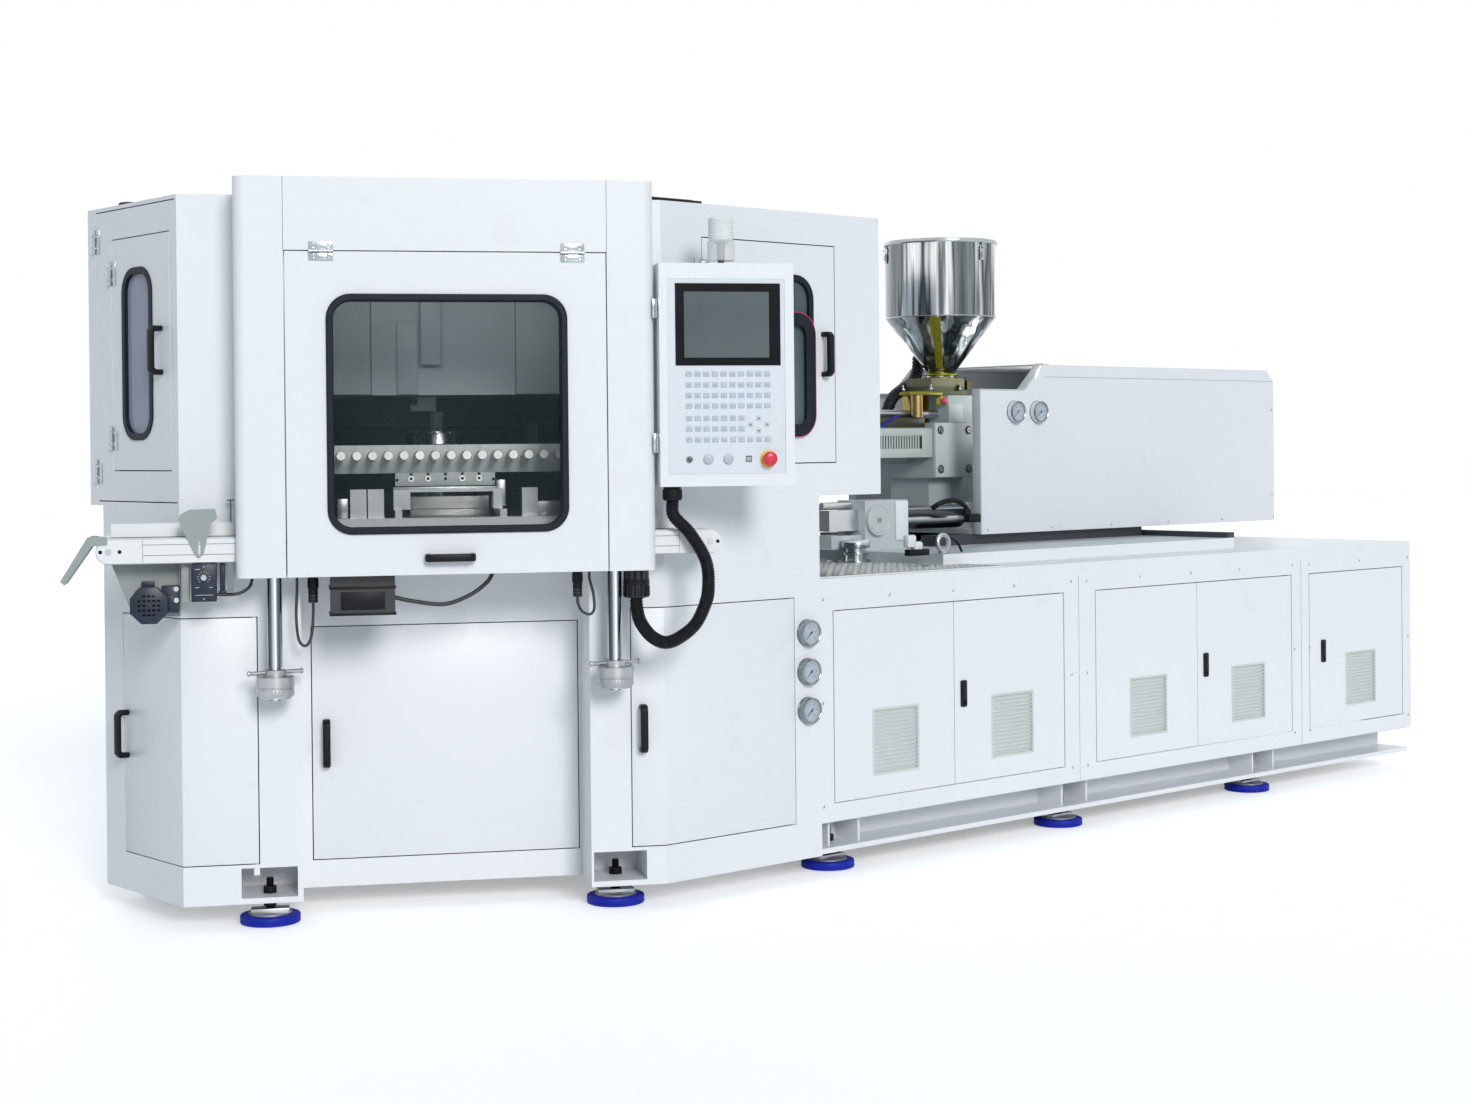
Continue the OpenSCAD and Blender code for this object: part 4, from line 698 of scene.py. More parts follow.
# ---- Upper cabinet ----------------------------------------------------------
# White sheet closes in the moulds. The inside carries painted shade, nearly black low down and
# dark grey higher up, and the roof carries a black ventilation cover and a low plug over a lifting point.
upper_paint = powder_coat("upper_powder_coat", signal_white)
depth = 1
for x, y, turn in ((0, 0, 0), (0, -238, 60), (0, front_y, 90), (0, 320, -60), (0, -front_y, -90),
                   (2090, 0, 180)):
    inward = Vector((math.cos(math.radians(turn)), math.sin(math.radians(turn)), 0))
    behind = upper_paint.reach(MACHINE @ Vector((x, y, 0)), inward)
    depth = upper_paint.maths("MINIMUM", depth, behind)
height = upper_paint.height()
skin, roof_inside, inside_shade_split = 0.0035, 2.0655, 1.43
inside = (depth > skin) * (height < roof_inside)
# Painted shade: the inside faces are coloured nearly black below the split height and dark grey above it
inside_painted_shade = upper_paint.blend(height > inside_shade_split, (0.014, 0.018, 0.022), (0.22, 0.25, 0.26))
upper_paint.feed(Base_Color=upper_paint.blend(inside, upper_paint.fed("Base Color"), inside_painted_shade))
cover_node("upper_cabinet", upper_paint)
vent_cover = joined(block(1150, 1372, -900, -700, 2068, 2079, 2),
                    block(1170, 1352, -880, -720, 2078, 2083, 1.5))
make_piece("roof_vent_cover", vent_cover, MACHINE, handle_black, "frame")
plug = turned([(0, 9), (26, 9), (31, 6), (32, -1), (0, -1)], 28)
make_piece("roof_plug", plug, MACHINE @ at(34, 115, 2068), handle_black, "frame")

# ---- Hinges -----------------------------------------------------------------
# Chromed butt hinges of 3 mm plate, with raised-head screws. Their knuckles stand just
# in front of the joint between door and frame.
def leaf(x0, x1, z0, z1):
    """A hinge leaf on a face that looks along -Y, with four screws."""
    heads = turned([(0, 0.4), (1.6, 0.4), (1.9, 1.2), (4, 1), (5, 0), (5, -1), (0, -1)], 12)
    spots = [at(x0 + (x1 - x0) * a, -3.1, z0 + (z1 - z0) * b, 90, "X") for a, b in
             ((0.2, 0.25), (0.8, 0.25), (0.2, 0.75), (0.8, 0.75))]
    return joined(block(x0, x1, -3.2, 0, z0, z1, 0.6), copies(heads, spots))


def knuckles(length, radius=4.7, count=5):
    """The rolled barrel of a hinge round its pin, along +Z from the origin."""
    profile = [(0, -0.8), (radius * 0.6, -0.8)]
    for step in range(count):
        low, high = length * step / count, length * (step + 1) / count
        profile += [(radius * 0.8, low + 0.2), (radius, low + 0.9), (radius, high - 0.9),
                    (radius * 0.8, high - 0.2)]
    return turned(profile + [(radius * 0.6, length + 0.8), (0, length + 0.8)], 16)


HOUSING = STATION @ at(0, -187, 0)
hinge = 68
box_hinge = 54
header_hinge = 67
header_lows = [s - header_hinge / 2 for s in (394, 1091)]
frame_door_z, window_door_z = (1290, 1970), (1387, 1870)
parts = []
for low in header_lows:
    parts += [moved(leaf(low, low + header_hinge, 1895.5, 1921), HOUSING),
              moved(knuckles(header_hinge), HOUSING @ at(low, -5, 1895, 90, "Y"))]
for place, levels, x0, x1, pin_x in ((LEFT, frame_door_z, -297, -269, -267.5),
                                     (FRONT, window_door_z, 1318, 1346, 1347.5)):
    for low in (z - hinge / 2 for z in levels):
        parts += [moved(leaf(x0, x1, low, low + hinge), place),
                  moved(knuckles(hinge), place @ at(pin_x, -5, low))]
for z in (1330, 1712):
    parts += [moved(block(1316, 1325, -3, 0, z, z + box_hinge), HOUSING),
              moved(knuckles(box_hinge), HOUSING @ at(1328, -6, z))]
hinges = make_piece("butt_hinges", joined(*parts), Matrix(), chrome, "frame")
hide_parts("hinge_leaves")

# ---- Window doors -----------------------------------------------------------
# Each window is tinted safety glass in a black rubber section that grips the edge of
# the door's opening. The doors are white sheet with a cast handle, and the right one also
# has a padded ring with red piping.
rubber = drifting("window_rubber", (30, 4), ((0.006, 0.009, 0.015), (0.013, 0.018, 0.029)),
                  ((300, 3), 0.0002, 0.3), Roughness=0.48, Specular_IOR_Level=0.15)


def tint(name, alpha, *tones):
    """Tinted safety glass with a slightly cloudy tone."""
    return drifting(name, (2.5, 2), tones, Roughness=0.05, Alpha=alpha, Specular_IOR_Level=0.2)


tinted = tint("tinted_glass", 0.16, (0.030, 0.048, 0.052), (0.050, 0.075, 0.080))
pale_glass = tint("side_glass", 0.9, (0.27, 0.31, 0.40), (0.34, 0.39, 0.49))
green_glass = tint("right_glass", 0.75, (0.060, 0.095, 0.100), (0.17, 0.23, 0.24))


def window_door(body, place, outer, window, radius, thick, proud, pane, glass, handle_place):
    """A door with its window rubber, whose sides and corner radius are given, and its handle."""
    grip, lip = 10, 20
    sheet = framed(outer, wider(window, -grip), 0, thick, 0, radius - grip)
    panel = make_piece(body + "_panel", sheet, place, white, body, rounding=1.5)
    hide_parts(body)
    section = framed(window, wider(window, -lip), -proud, 1, radius, radius - lip)
    make_piece(body + "_window_rubber", section, place, rubber, body, rounding=proud * 0.48)
    liner = framed(wider(window, -grip - 0.2), wider(window, -lip), 0.5, thick, radius - grip, radius - lip)
    make_piece(body + "_rubber_lip", liner, place, rubber, body)
    make_piece(body + "_handle", pull_handle(), handle_place, handle_black, body)
    cover_node(pane, glass)


window_door("side_window_door", LEFT, (-165, 193, 1294, 1967), (-98, 90, 1380, 1880), 74,
            sheet_thickness, 4.5, "side_window", pale_glass, LEFT @ at(143, 0, 1564))
window_door("right_door", FRONT, (1349, 1892, 1294, 1967), (1420, 1800, 1373, 1873), 74,
            sheet_thickness, 5, "right_window", green_glass, FRONT @ at(1842, 0, 1560))
pad = (1421, 1799, 1374, 1756)
pad_ring = framed(pad, (1461, 1759, 1412, 1718), -12.5, -9, 70, 34)
make_piece("right_door_pad", pad_ring, FRONT, rubber, "right_door", rounding=1.4)
piping_red = powder_coat("piping_red", (0.80, 0.02, 0.14), 0.8, 0.4)
piping = framed(wider(pad, 1.5), wider(pad, -1.5), -11.8, -9, 71, 69)
make_piece("right_door_piping", piping, FRONT, piping_red, "right_door")
frame_sheet = framed((-266, 225, 1204, 2054), (-168, 196, 1291, 1970), 0, sheet_thickness)
frame_panel = make_piece("side_frame_door_panel", frame_sheet, LEFT, white, "side_frame_door", rounding=1.5)
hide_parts("side_frame_door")
for name, body, place, span, levels in (
        ("window_hinge_pins", "side_frame_door", LEFT, (-196, -168), window_door_z),
        ("window_hinge_leaves", "side_window_door", LEFT, (-162.5, -136), window_door_z),
        ("frame_door_leaves", "side_frame_door", LEFT, (-265.5, -238), frame_door_z),
        ("right_door_leaves", "right_door", FRONT, (1349.5, 1376), window_door_z)):
    lows = [z - hinge / 2 for z in levels]
    parts = [leaf(*span, low, low + hinge) for low in lows]
    if name == "window_hinge_pins":
        parts += [moved(knuckles(hinge), at(-166.5, -5, low)) for low in lows]
    make_piece(name, joined(*parts), place, chrome, body)

# ---- Machine table, moulds and head -----------------------------------------
# Ground steel plates and mould blocks stand on the table. A grey cast head over them
# holds the clamp rams and is tied down by four round columns. Its skirts are cast too, and
# steel trays and a chute at the free station take the bottles.
machined = plated("machined_steel", (0.50, 0.53, 0.54), 0.34)
rod_satin = plated("core_rod_satin", (0.88, 0.88, 0.87), 0.42)
mould_steel = plated("mould_steel", (0.40, 0.42, 0.43), 0.30)
casting = powder_coat("head_casting", (0.40, 0.49, 0.51), 0.55, 0.45)
post_grey = powder_coat("post_grey", (0.88, 0.95, 0.97), 0.8, 0.4)
cover_node("machine_table", machined)
cover_node("injection_clamp", mould_steel)
cover_node("blow_clamp", mould_steel)
cover_node("turret_column", chrome)
cover_node("head_frame", casting)
TURRET = MACHINE @ at(1020, 0, 0)
STRIPPER = TURRET @ at(0, 0, 0, -120)
skirts = joined(block(352, 366, -520, -216, 1512, 1990, 2), block(352, 366, 216, 520, 1512, 1990, 2),
                block(366, 392, -70, -10, 1600, 1990, 2), block(366, 380, -140, -78, 1512, 1730, 2))
make_piece("head_skirts", skirts, STRIPPER, casting, "frame")
stay = joined(block(24, 54, -62, -3, 1467, 1511, 2), block(24, 44, -84, -60, 1467, 1488, 2))
make_piece("post_stay", stay, STRIPPER, post_grey, "frame")
trays = joined(block(598, 640, 236, 345, 1149, 1192, 2), block(574, 640, -327, -296, 1149, 1206, 2))
make_piece("bottle_trays", trays, STRIPPER, mould_steel, "frame")
make_piece("bottle_chute", block(470, 474, -110, 122, 1150, 1206, 0.5), STRIPPER, rod_satin, "frame")

# ---- Turret -----------------------------------------------------------------
# The triangular turret plate is ground steel with a row of polished core rods along each
# side and a bolted bar under it; its top face is painted dark as painted shade. A bright hub, banded
# with painted reflections, and the grey post of its swivel stand on top.
def surface_where(finish, mask, colour, rough, metal=1.0):
    """Give the part of a piece that a mask picks out another surface."""
    finish.feed(Base_Color=finish.blend(mask, finish.fed("Base Color"), colour),
                Roughness=finish.fed("Roughness") * (1 - mask) + mask * rough,
                Metallic=mask * metal + (1 - mask) * finish.fed("Metallic"))


def past(finish, place, **limits):
    """A mask of 1 where the surface lies inside limits given in a frame's millimetres."""
    inside = 1
    for name, value in limits.items():
        along = "xyz".index(name[0])
        axis = Vector([float(along == i) for i in range(3)])
        depth = finish.reach(place @ (axis * value), (place.to_3x3() @ axis).normalized())
        inside = (depth > 0 if name.endswith("min") else depth < 0) * inside
    return inside


head_out = 560
head_half = 345
head_low, head_high = 1277, 1360
rod_row = [45 * place for place in range(-7, 8)]
thirds = [at(0, 0, 0, turn) for turn in (0, 120, 240)]
corners = [third @ Vector((head_out, y, 0)) for third in thirds for y in (-head_half, head_half)]
head = plan([(spot.x, spot.y) for spot in corners], head_low, head_high, 1.5)
dots = copies(turned([(0, 0.3), (2.4, 0.3), (3, 1), (4.6, 0.8), (5.2, 0), (5.2, -1), (0, -1)], 12),
              [third @ at(head_out, y, z, 90, "Y") for third in thirds for y in rod_row
               for z in (1352, 1306)])
turret_steel = plated("turret_steel", (0.74, 0.80, 0.79), 0.42)
# Painted shade: the plate's top face, under the head, is coloured near black
surface_where(turret_steel, past(turret_steel, MACHINE, z_min=1359.2), (0.10, 0.115, 0.12), 0.6)
plate = make_piece("turret_plate", joined(head, dots), TURRET, turret_steel, "turret")
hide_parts("turret_head")
hub = turned([(60, 1399), (62, 1403), (62, 1396), (82, 1396), (90, 1398), (94, 1397), (95, 1395),
              (95, 1364), (97, head_high), (60, head_high)], 64)
collar = turned([(0, head_high), (58, head_high), (58, 1390), (54, 1394), (30, 1394), (28, 1390),
                 (0, 1390)], 48)
bolt = turned([(0, 1391), (4, 1391), (4, 1402), (7.5, 1402), (8.5, 1400), (8.5, 1395), (0, 1395)], 16)
eighths = [math.tau * k / 8 for k in range(8)]
bolts = copies(bolt, [at(76 * math.cos(angle), 76 * math.sin(angle), 0) for angle in eighths])
bright = Finish("polished_hub", Metallic=1.0, Roughness=0.2)
# Painted reflections: the hub's colour runs in dark and bright bands round it
bright.feed(Base_Color=bright.ramp(
    bright.noise(24, 1, (1, 1, 0.03)), (0.38, (0.16, 0.18, 0.19)), (0.45, (0.90, 0.92, 0.92)),
    (0.50, (0.30, 0.33, 0.34)), (0.57, (0.95, 0.97, 0.97)), (0.64, (0.20, 0.22, 0.23))))
make_piece("turret_hub", joined(hub, collar, bolts), TURRET, bright, "turret")
make_piece("swivel_post", block(-15, 15, -15, 15, 1390, 1466, 1.5), TURRET, post_grey, "turret")
bar_out = 572
hanging = block(bar_out - 10, bar_out, -158, 133, 1239, 1278, 0.8)
make_piece("turret_side_bars", copies(hanging, thirds), TURRET, turret_steel, "turret")
bolt_spots = [(y, 1260) for y in (-112, -63, 37, 86)]
hole_spots = bolt_spots + [(y, 1273) for y in (-112, -63, -12, 37, 86)]
hole_spots += [(-12, 1259), (-153, 1257), (128, 1257)]
heads = turned([(0, 0.6), (4.6, 0.6), (4.6, 4), (9.4, 4), (10.2, 3.2), (10.2, -0.5), (0, -0.5)], 24)
heads = copies(heads, [third @ at(bar_out, y, z, 90, "Y") for third in thirds for y, z in bolt_spots])
make_piece("side_bar_bolts", heads, TURRET, rod_satin, "turret")
# Painted shade: flat black discs stand for the bolts' sockets and the open holes in the bars
hole_shade_discs = turned([(0, 0.9), (4.4, 0.9), (4.4, -0.5), (0, -0.5)], 20)
hole_shade_discs = copies(hole_shade_discs, [third @ at(bar_out, y, z, 90, "Y") for third in thirds for y, z in hole_spots])
make_piece("side_bar_holes", hole_shade_discs, TURRET, rubber, "turret")
rod = turned([(0, 0), (13.6, 0), (13.6, 72), (14, 74), (14, 94), (12.6, 96), (0, 96)], 28)
rods = copies(rod, [third @ at(head_out, y, 1329, 90, "Y") for third in thirds for y in rod_row])
rods = make_piece("polished_core_rods", rods, TURRET, rod_satin, "turret")
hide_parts("core_rods")

# ---- Stripper ---------------------------------------------------------------
# At the free station a ground bridge runs on two rails and pulls the bottles off the
# rods. It is cut from one plate, with a bar on top, a bracket at its side and three dowels.
bridge_out = 640
bridge = moved(framed((-167, 148, 1172, 1230), (-118, 121, 1173, 1222), 0, 60, 0, 1),
               at(bridge_out, 0, 0, 90))
bar = joined(block(580, 622, -167, 142, 1229, 1237, 1), block(590, 630, 134, 158, 1180, 1256, 1))
dowels = copies(turned([(0, 0.4), (3.4, 0.4), (4, -0.5), (0, -0.5)], 12),
                [at(bridge_out, y, z, 90, "Y") for y, z in ((-150, 1186), (-134, 1186), (140, 1190))])
stripper = make_piece("stripper_bridge", joined(bridge, bar, dowels), STRIPPER, machined, "stripper",
                      rounding=0.8)
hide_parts("stripper_carriage")

# ---- Door housing -----------------------------------------------------------
# Two hollow posts with rounded edges and a header carry the station door. The black
# power box, two plugs and the conduit's gland hang from its floor.
housing_paint = powder_coat("housing_powder_coat", signal_white)
housing_floor = 0.99685
below = housing_paint.height() < housing_floor
housing_paint.feed(Base_Color=housing_paint.blend(
    below, housing_paint.fed("Base Color"), (0.014, 0.015, 0.017)))
cover_node("door_housing", housing_paint)
seams([(s, 1898, s, 2099.5) for s in (292, 1188)], HOUSING, "frame", "header_joints")
lid = joined(block(409, 593, -133, -18, 884, 892, 1.5), block(409, 593, -133, -18, 958, 966, 1.5),
             block(440, 562, -132, -130, 900, 950, 1))
make_piece("power_box_lids", lid, STATION, handle_black, "frame")
plug = turned([(0, -1), (7, -1), (9, 2), (13.5, 4), (13.5, 8), (12, 9), (12, 12), (13.5, 13), (13.5, 17),
               (12, 18), (12, 21), (13.5, 22), (13.5, 40), (15.5, 42), (15.5, 60), (14, 77), (0, 77)], 24)
plugs = copies(plug, [at(s, -75, 920) for s in (365, 1110)])
make_piece("hanging_plugs", plugs, STATION, handle_black, "frame")
nut = turned([(19.5, -2), (30, -2), (33, 1), (36, 4), (36, 34), (38, 36), (38, 50), (36, 52), (36, 79.8),
              (19.5, 79.8)], 36)
grips = copies(block(35, 38.6, -2.2, 2.2, 3, 33, 0.5), [at(0, 0, 0, 15 * step) for step in range(24)])
make_piece("conduit_gland", joined(nut, grips), STATION @ at(1277, -100, 917), handle_black, "frame")

# ---- Station door -----------------------------------------------------------
# The big front door is folded white sheet and lifts about two butt hinges on the header.
# Its square window shows the core rods, and a handle lies across its lower edge.
window_door("front_door", HOUSING, (295, 1185, 997, 1895), (405.5, 1074.5, 1112, 1778), 69, 40, 10,
            "front_window", tinted, HOUSING @ at(810, 0, 1045, -90, "Y"))
leaves = [leaf(low, low + header_hinge, 1869, 1889) for low in header_lows]
make_piece("front_door_leaves", joined(*leaves), HOUSING, chrome, "front_door")

# ---- Guide rods and adjusters -----------------------------------------------
# A chromed tube under each post runs down to a knurled zinc collar with two tommy bars,
# which sets the housing's height.
rod_chrome = Finish("guide_rod_chrome", Metallic=1.0)
reflection_band_spot = rod_chrome.reach(STATION @ Vector((241, 0, 0)), (STATION.to_3x3() @ Vector((1, 0, 0))).normalized())
rod_pitch, rod_width = 0.954, 0.036
# Painted reflections: across each tube the colour runs dark, bright and dark again, the same on both tubes
rod_chrome.feed(Base_Color=rod_chrome.ramp(
    reflection_band_spot % rod_pitch / rod_width, (0.0, (0.03, 0.035, 0.04)), (0.22, (0.12, 0.14, 0.15)),
    (0.36, (0.50, 0.54, 0.56)), (0.58, (0.72, 0.75, 0.77)), (0.68, (0.20, 0.23, 0.25)),
    (0.84, (0.07, 0.08, 0.09)), (1.0, (0.45, 0.50, 0.53))), Roughness=rod_chrome.noise(60, 3) * 0.15 + 0.1)
cover_node("guide_rods", rod_chrome)
collar = turned([(16.6, 0), (44, 0), (44, 6), (51, 7), (52, 9), (52, 27), (50.5, 28.5), (50.5, 31),
                 (52, 32.5), (52, 60), (50, 62), (31, 62), (31, 78), (29, 80), (16.6, 80)], 48)
knurl = copies(block(51, 52.8, -1.6, 1.6, 10, 26, 0.4), [at(0, 0, 0, 12 * step) for step in range(30)])
bars = turned([(0, 28), (6, 28), (6, 70), (5, 71), (5, 73), (7.5, 74), (8, 77), (7, 80), (0, 80)], 16)
bars = copies(bars, [at(0, 0, 72, turn) @ at(0, 0, 0, 90, "Y") for turn in (20, 200)])
adjuster = joined(collar, knurl, bars)
for body, s in (("adjuster_left", 259), ("adjuster_right", 1213)):
    piece = make_piece(body + "_collar", adjuster.copy(), STATION @ at(s, -100, 658), zinc, body)
    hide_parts(body)
adjuster.free()

# ---- Conveyor ---------------------------------------------------------------
# An aluminium section conveyor crosses the station. A pale belt runs round two steel
# rollers, with a grey discharge chute at its left end.
alloy = powder_coat("aluminium_section", (0.82, 0.83, 0.84), 0.93, 0.32)
sheet_grey = (0.29, 0.33, 0.32)
for zone, colour, rough in (
        ({"z_min": 1148.5}, (0.012, 0.013, 0.016), 0.45),
        ({"z_max": 1041.8, "x_min": 120}, (0.17, 0.20, 0.21), 0.4),
        ({"y_max": -138.1}, sheet_grey, 0.45), ({"x_max": -215.1}, sheet_grey, 0.45),
        ({"x_max": -184, "y_min": -31.9}, sheet_grey, 0.45)):
    surface_where(alloy, past(alloy, STATION, **zone), colour, rough, 0.0)
cover_node("conveyor_frame", alloy)
cover_node("drive_roller", chrome)
cover_node("idler_roller", chrome)
cover_node("conveyor_belt", drifting("belt_pvc", (140, 3), ((0.62, 0.64, 0.65), (0.74, 0.76, 0.77)),
                                     ((900, 2), 0.0002, 0.4), Roughness=0.5))
grooves = [block(-92, 1397, -138.4, -137, z, z + 2, 0) for z in (1062, 1091)]
grooves += [block(s, s + 1.2, -138.4, -137, 1043, 1105, 0) for s in (-93, 1397)]
groove_grey = drifting("section_groove", (8,), ((0.20, 0.21, 0.22), (0.30, 0.31, 0.32)), Roughness=0.6)
make_piece("section_grooves", joined(*grooves), STATION, groove_grey, "frame")
# Painted shade: black discs in the section's screw holes, and a black strip for the shadow under the belt's
# guide
holes = copies(turned([(0, 0.5), (4.6, 0.5), (5.4, 0), (5.4, -0.5), (0, -0.5)], 24),
               [at(s, -138, 1074, 90, "X") for s in (-204, -153, 1458, 1509)])
gap = block(-182, 1400, -43.4, -41.8, 1106, 1110.5, 0)
make_piece("section_screw_holes", joined(holes, gap), STATION, rubber, "frame")

# ---- Conveyor drive ---------------------------------------------------------
# A small black geared motor hangs from a sheet bracket under the conveyor's left end,
# with a slotted fan cover. Its speed box has a dial and a chromed knob.
drive_black = drifting("drive_enamel", (40, 4), ((0.014, 0.018, 0.032), (0.034, 0.042, 0.070)),
                       ((500, 3), 0.0001, 0.3), Roughness=0.35, Specular_IOR_Level=0.25)
bracket_grey = powder_coat("bracket_grey", (0.36, 0.39, 0.38), 0.8, 0.5)
bracket = moved(plan([(-184, 1042), (4, 1042), (4, 888), (-124, 888)], -4, 0, 0.5), at(0, -42, 0, 90, "X"))
flange = joined(block(-184, 4, -60, -38, 1037, 1042, 0.5), block(0, 4, -60, -38, 890, 1040, 0.5))
drive = make_piece("drive_bracket", joined(bracket, flange), STATION, bracket_grey, "frame")
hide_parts("conveyor_motor")
fins = [(0, 0), (30, 0), (30, 6)]
for low in range(6, 60, 6):
    fins += [(37, low), (44, low + 0.8), (44, low + 3), (37, low + 3.8)]
motor = joined(turned(fins + [(37, 62), (0, 62)], 32), prisms([at(6, -7, 73, 22.5)], 8, 55, 22, 2.5))
motor.transform(at(-84, -42, 932, 90, "X"))
gear = joined(block(-46, 2, -100, -40, 902, 976, 3), block(-30, -12, -104, -98, 914, 950, 1),
              block(-100, -66, -84, -46, 974, 988, 2))
make_piece("geared_motor", joined(motor, gear), STATION, drive_black, "frame")
slot_shade = drifting("slot_shade", (20,), ((0.001, 0.001, 0.002), (0.003, 0.003, 0.004)), Roughness=0.9,
                      Specular_IOR_Level=0)
steps = (-26, -13, 0, 13, 26)
slots = [at(-78 + x, -126.2, 925 + z) for z in steps for x in steps if abs(x) + abs(z) not in (0, 52)]
make_piece("fan_slots", copies(block(-4.2, 4.2, -0.4, 0.6, -2.1, 2.1, 0.3), slots), STATION, slot_shade,
           "frame")
gear_screws = turned([(0, 1), (4, 1), (4, 3), (7, 3), (7.6, 2), (7.6, 0), (0, 0)], 16)
gear_screws = copies(gear_screws, [at(-6, -100, z, 90, "X") for z in (937, 968)])
make_piece("gear_screws", gear_screws, STATION, zinc, "frame")
case = joined(block(36, 104, -138, -88, 933, 1037, 2), block(46, 94, -138, -132, 1036, 1042, 0.8),
              block(38.5, 101.5, -139.2, -137, 935.5, 1034.5, 1))
make_piece("speed_box", case, STATION, drive_black, "frame")
marks = [at(70, -139.4, 1000, -135 + 27 * step, "Y") @ at(0, 0, 15.5) for step in range(11)]
marks = copies(block(-0.5, 0.5, -0.2, 0.6, -1.6, 1.6, 0), marks)
rows = [block(x0, x1, -139.5, -138.8, z0, z1, 0) for x0, x1, z0, z1 in (
    (46, 60, 1022, 1023.2), (46, 94, 951, 952), (46, 58, 972, 973), (84, 94, 972, 973))]
dial_white = drifting("print_white", (60,), ((0.70, 0.71, 0.70), (0.84, 0.85, 0.84)), Roughness=0.5)
make_piece("speed_box_dial", joined(marks, *rows), STATION, dial_white, "frame")
knob = joined(turned([(0, -12), (4, -12), (4, 0.5), (10, 0.5), (10, 4), (8.4, 6), (8.2, 13), (7.4, 14),
                      (0, 14)], 28), block(-0.8, 0.8, 2, 8.3, 5, 14.3, 0.2))
knob = make_piece("speed_box_knob", knob, STATION @ at(70, -138, 1000, 90, "X"), chrome, "speed_knob")
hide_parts("speed_knob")
screw_heads([(70, 1029), (70, 941)], STATION @ at(0, -139, 0), "frame", "speed_box_screws", 3)
make_piece("drive_hanger", block(8, 30, -96, -74, 930, 1042, 1.5), STATION, bracket_grey, "frame")
stay = joined(block(112, 126, -110, -96, 958, 1042, 1.5), block(108, 130, -114, -92, 954, 960, 1))
make_piece("drive_stay", stay, STATION, drive_black, "frame")

# ---- Control box ------------------------------------------------------------
# The control box is a shallow white case on two hinges. A grey-blue membrane in its
# front holds the screen, the keys, the switches and the yellow emergency plate.
BOX = STATION @ at(1333, -205, 1233)
opening, display = (24, 364, 35, 590), (48, 350, 345, 576)
case = joined(framed((0, 391, 0, 635), opening, 0, 5), block(0, 391, 4, 100, 0, 635, 0),
              block(10, 381, 99, 101, 10, 625, 0.6))
case = make_piece("control_box_case", case, BOX, white, "control_box", rounding=2.5)
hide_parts("control_box")
membrane = powder_coat("panel_membrane", (0.70, 0.745, 0.80), 0.95, 0.4)
panel = joined(framed(wider(opening, -0.4), display, 1.4, 4.4),
               framed(wider(opening, -4), wider(opening, -7), 0.9, 2),
               framed((40, 348, 108, 110), (41, 347, 108.6, 109.4), 1, 2))
make_piece("control_membrane", panel, BOX, membrane, "control_box")
bezel_black = drifting("screen_bezel", (20, 2), ((0.005, 0.006, 0.008), (0.010, 0.011, 0.014)),
                       Roughness=0.25, Specular_IOR_Level=0.08)
make_piece("screen_bezel", framed(wider(display, 1.5), (72, 319, 366, 554), -0.4, 2), BOX, bezel_black,
           "control_box", rounding=0.5)
screen = drifting("screen_glass", (5, 2), ((0.060, 0.085, 0.095), (0.125, 0.155, 0.160)), Roughness=0.12)
cover_node("control_screen", screen)
key_grey = powder_coat("key_caps", (0.53, 0.61, 0.67), 0.95, 0.45)
key_blue = powder_coat("key_print_blue", (0.13, 0.20, 0.32), 0.8, 0.5)
key_dark = powder_coat("key_print_dark", (0.05, 0.06, 0.08), 0.8, 0.5)
key_red = powder_coat("key_print_red", (0.62, 0.05, 0.10), 0.8, 0.5)
key_x, key_pitch = 84, 25.3
key_z = (319, 288, 258, 228, 193, 163, 132)
keys = [(key_x + key_pitch * column, z, row, column) for row, z in enumerate(key_z) for column in range(10)
        if not (3 < row < 6 and column > 6)]
arrows = [at(x, 0, z) @ at(0, 0, 0, turn, "Y") for x, z, turn in (
    (286, 193, 0), (262, 175, -90), (310, 175, 90), (286, 157, 180))]
key_spots = [at(x, 0, z) for x, z, row, column in keys]
caps = joined(copies(block(-9.2, 9.2, -0.4, 1.6, -7.2, 8.2, 1), key_spots),
              copies(block(-7.2, 7.2, -0.4, 1.6, -7.2, 7.2, 1), arrows))
make_piece("panel_keys", caps, BOX, key_grey, "control_box")
key_edge = (-7.4, 7.4, -5.4, 6.4)
frames = copies(framed(key_edge, wider(key_edge, -0.5), -0.6, 0), key_spots)
dark_keys = ((2, 0), (2, 1), (3, 0), (4, 4), (4, 5))
red_keys = ((6, 5), (6, 6))
bars = [[], [], []]
for x, z, row, column in keys:
    kind = 2 if (row, column) in red_keys else 1 if (row, column) in dark_keys else 0
    bars[kind].append(block(x - 4.5, x + 4.5 - (row * 3 + column) % 4, -0.7, 0, z + 1.6, z + 2.8, 0))
    if (row + 2 * column) % 3:
        bars[kind].append(block(x - 3.6 + (row + column) % 3, x + 3.4, -0.7, 0, z - 2.2, z - 1, 0))
heads = copies(plan([(-3.6, -2), (3.6, -2), (0, 3.6)], 0, 1, 0),
               [arrow @ at(0, 0, 0, 90, "X") for arrow in arrows])
for name, shapes, finish in (("key_print_frames", [frames, *bars[0]], key_blue),
                             ("key_print_marks", [heads, *bars[1]], key_dark),
                             ("key_print_red_marks", bars[2], key_red)):
    make_piece(name, joined(*shapes), BOX, finish, "control_box")
dark_chrome = plated("dark_chrome", (0.16, 0.18, 0.19), 0.3)
button_grey = powder_coat("button_lens", (0.47, 0.52, 0.57), 0.85, 0.35)
switch_z = 77
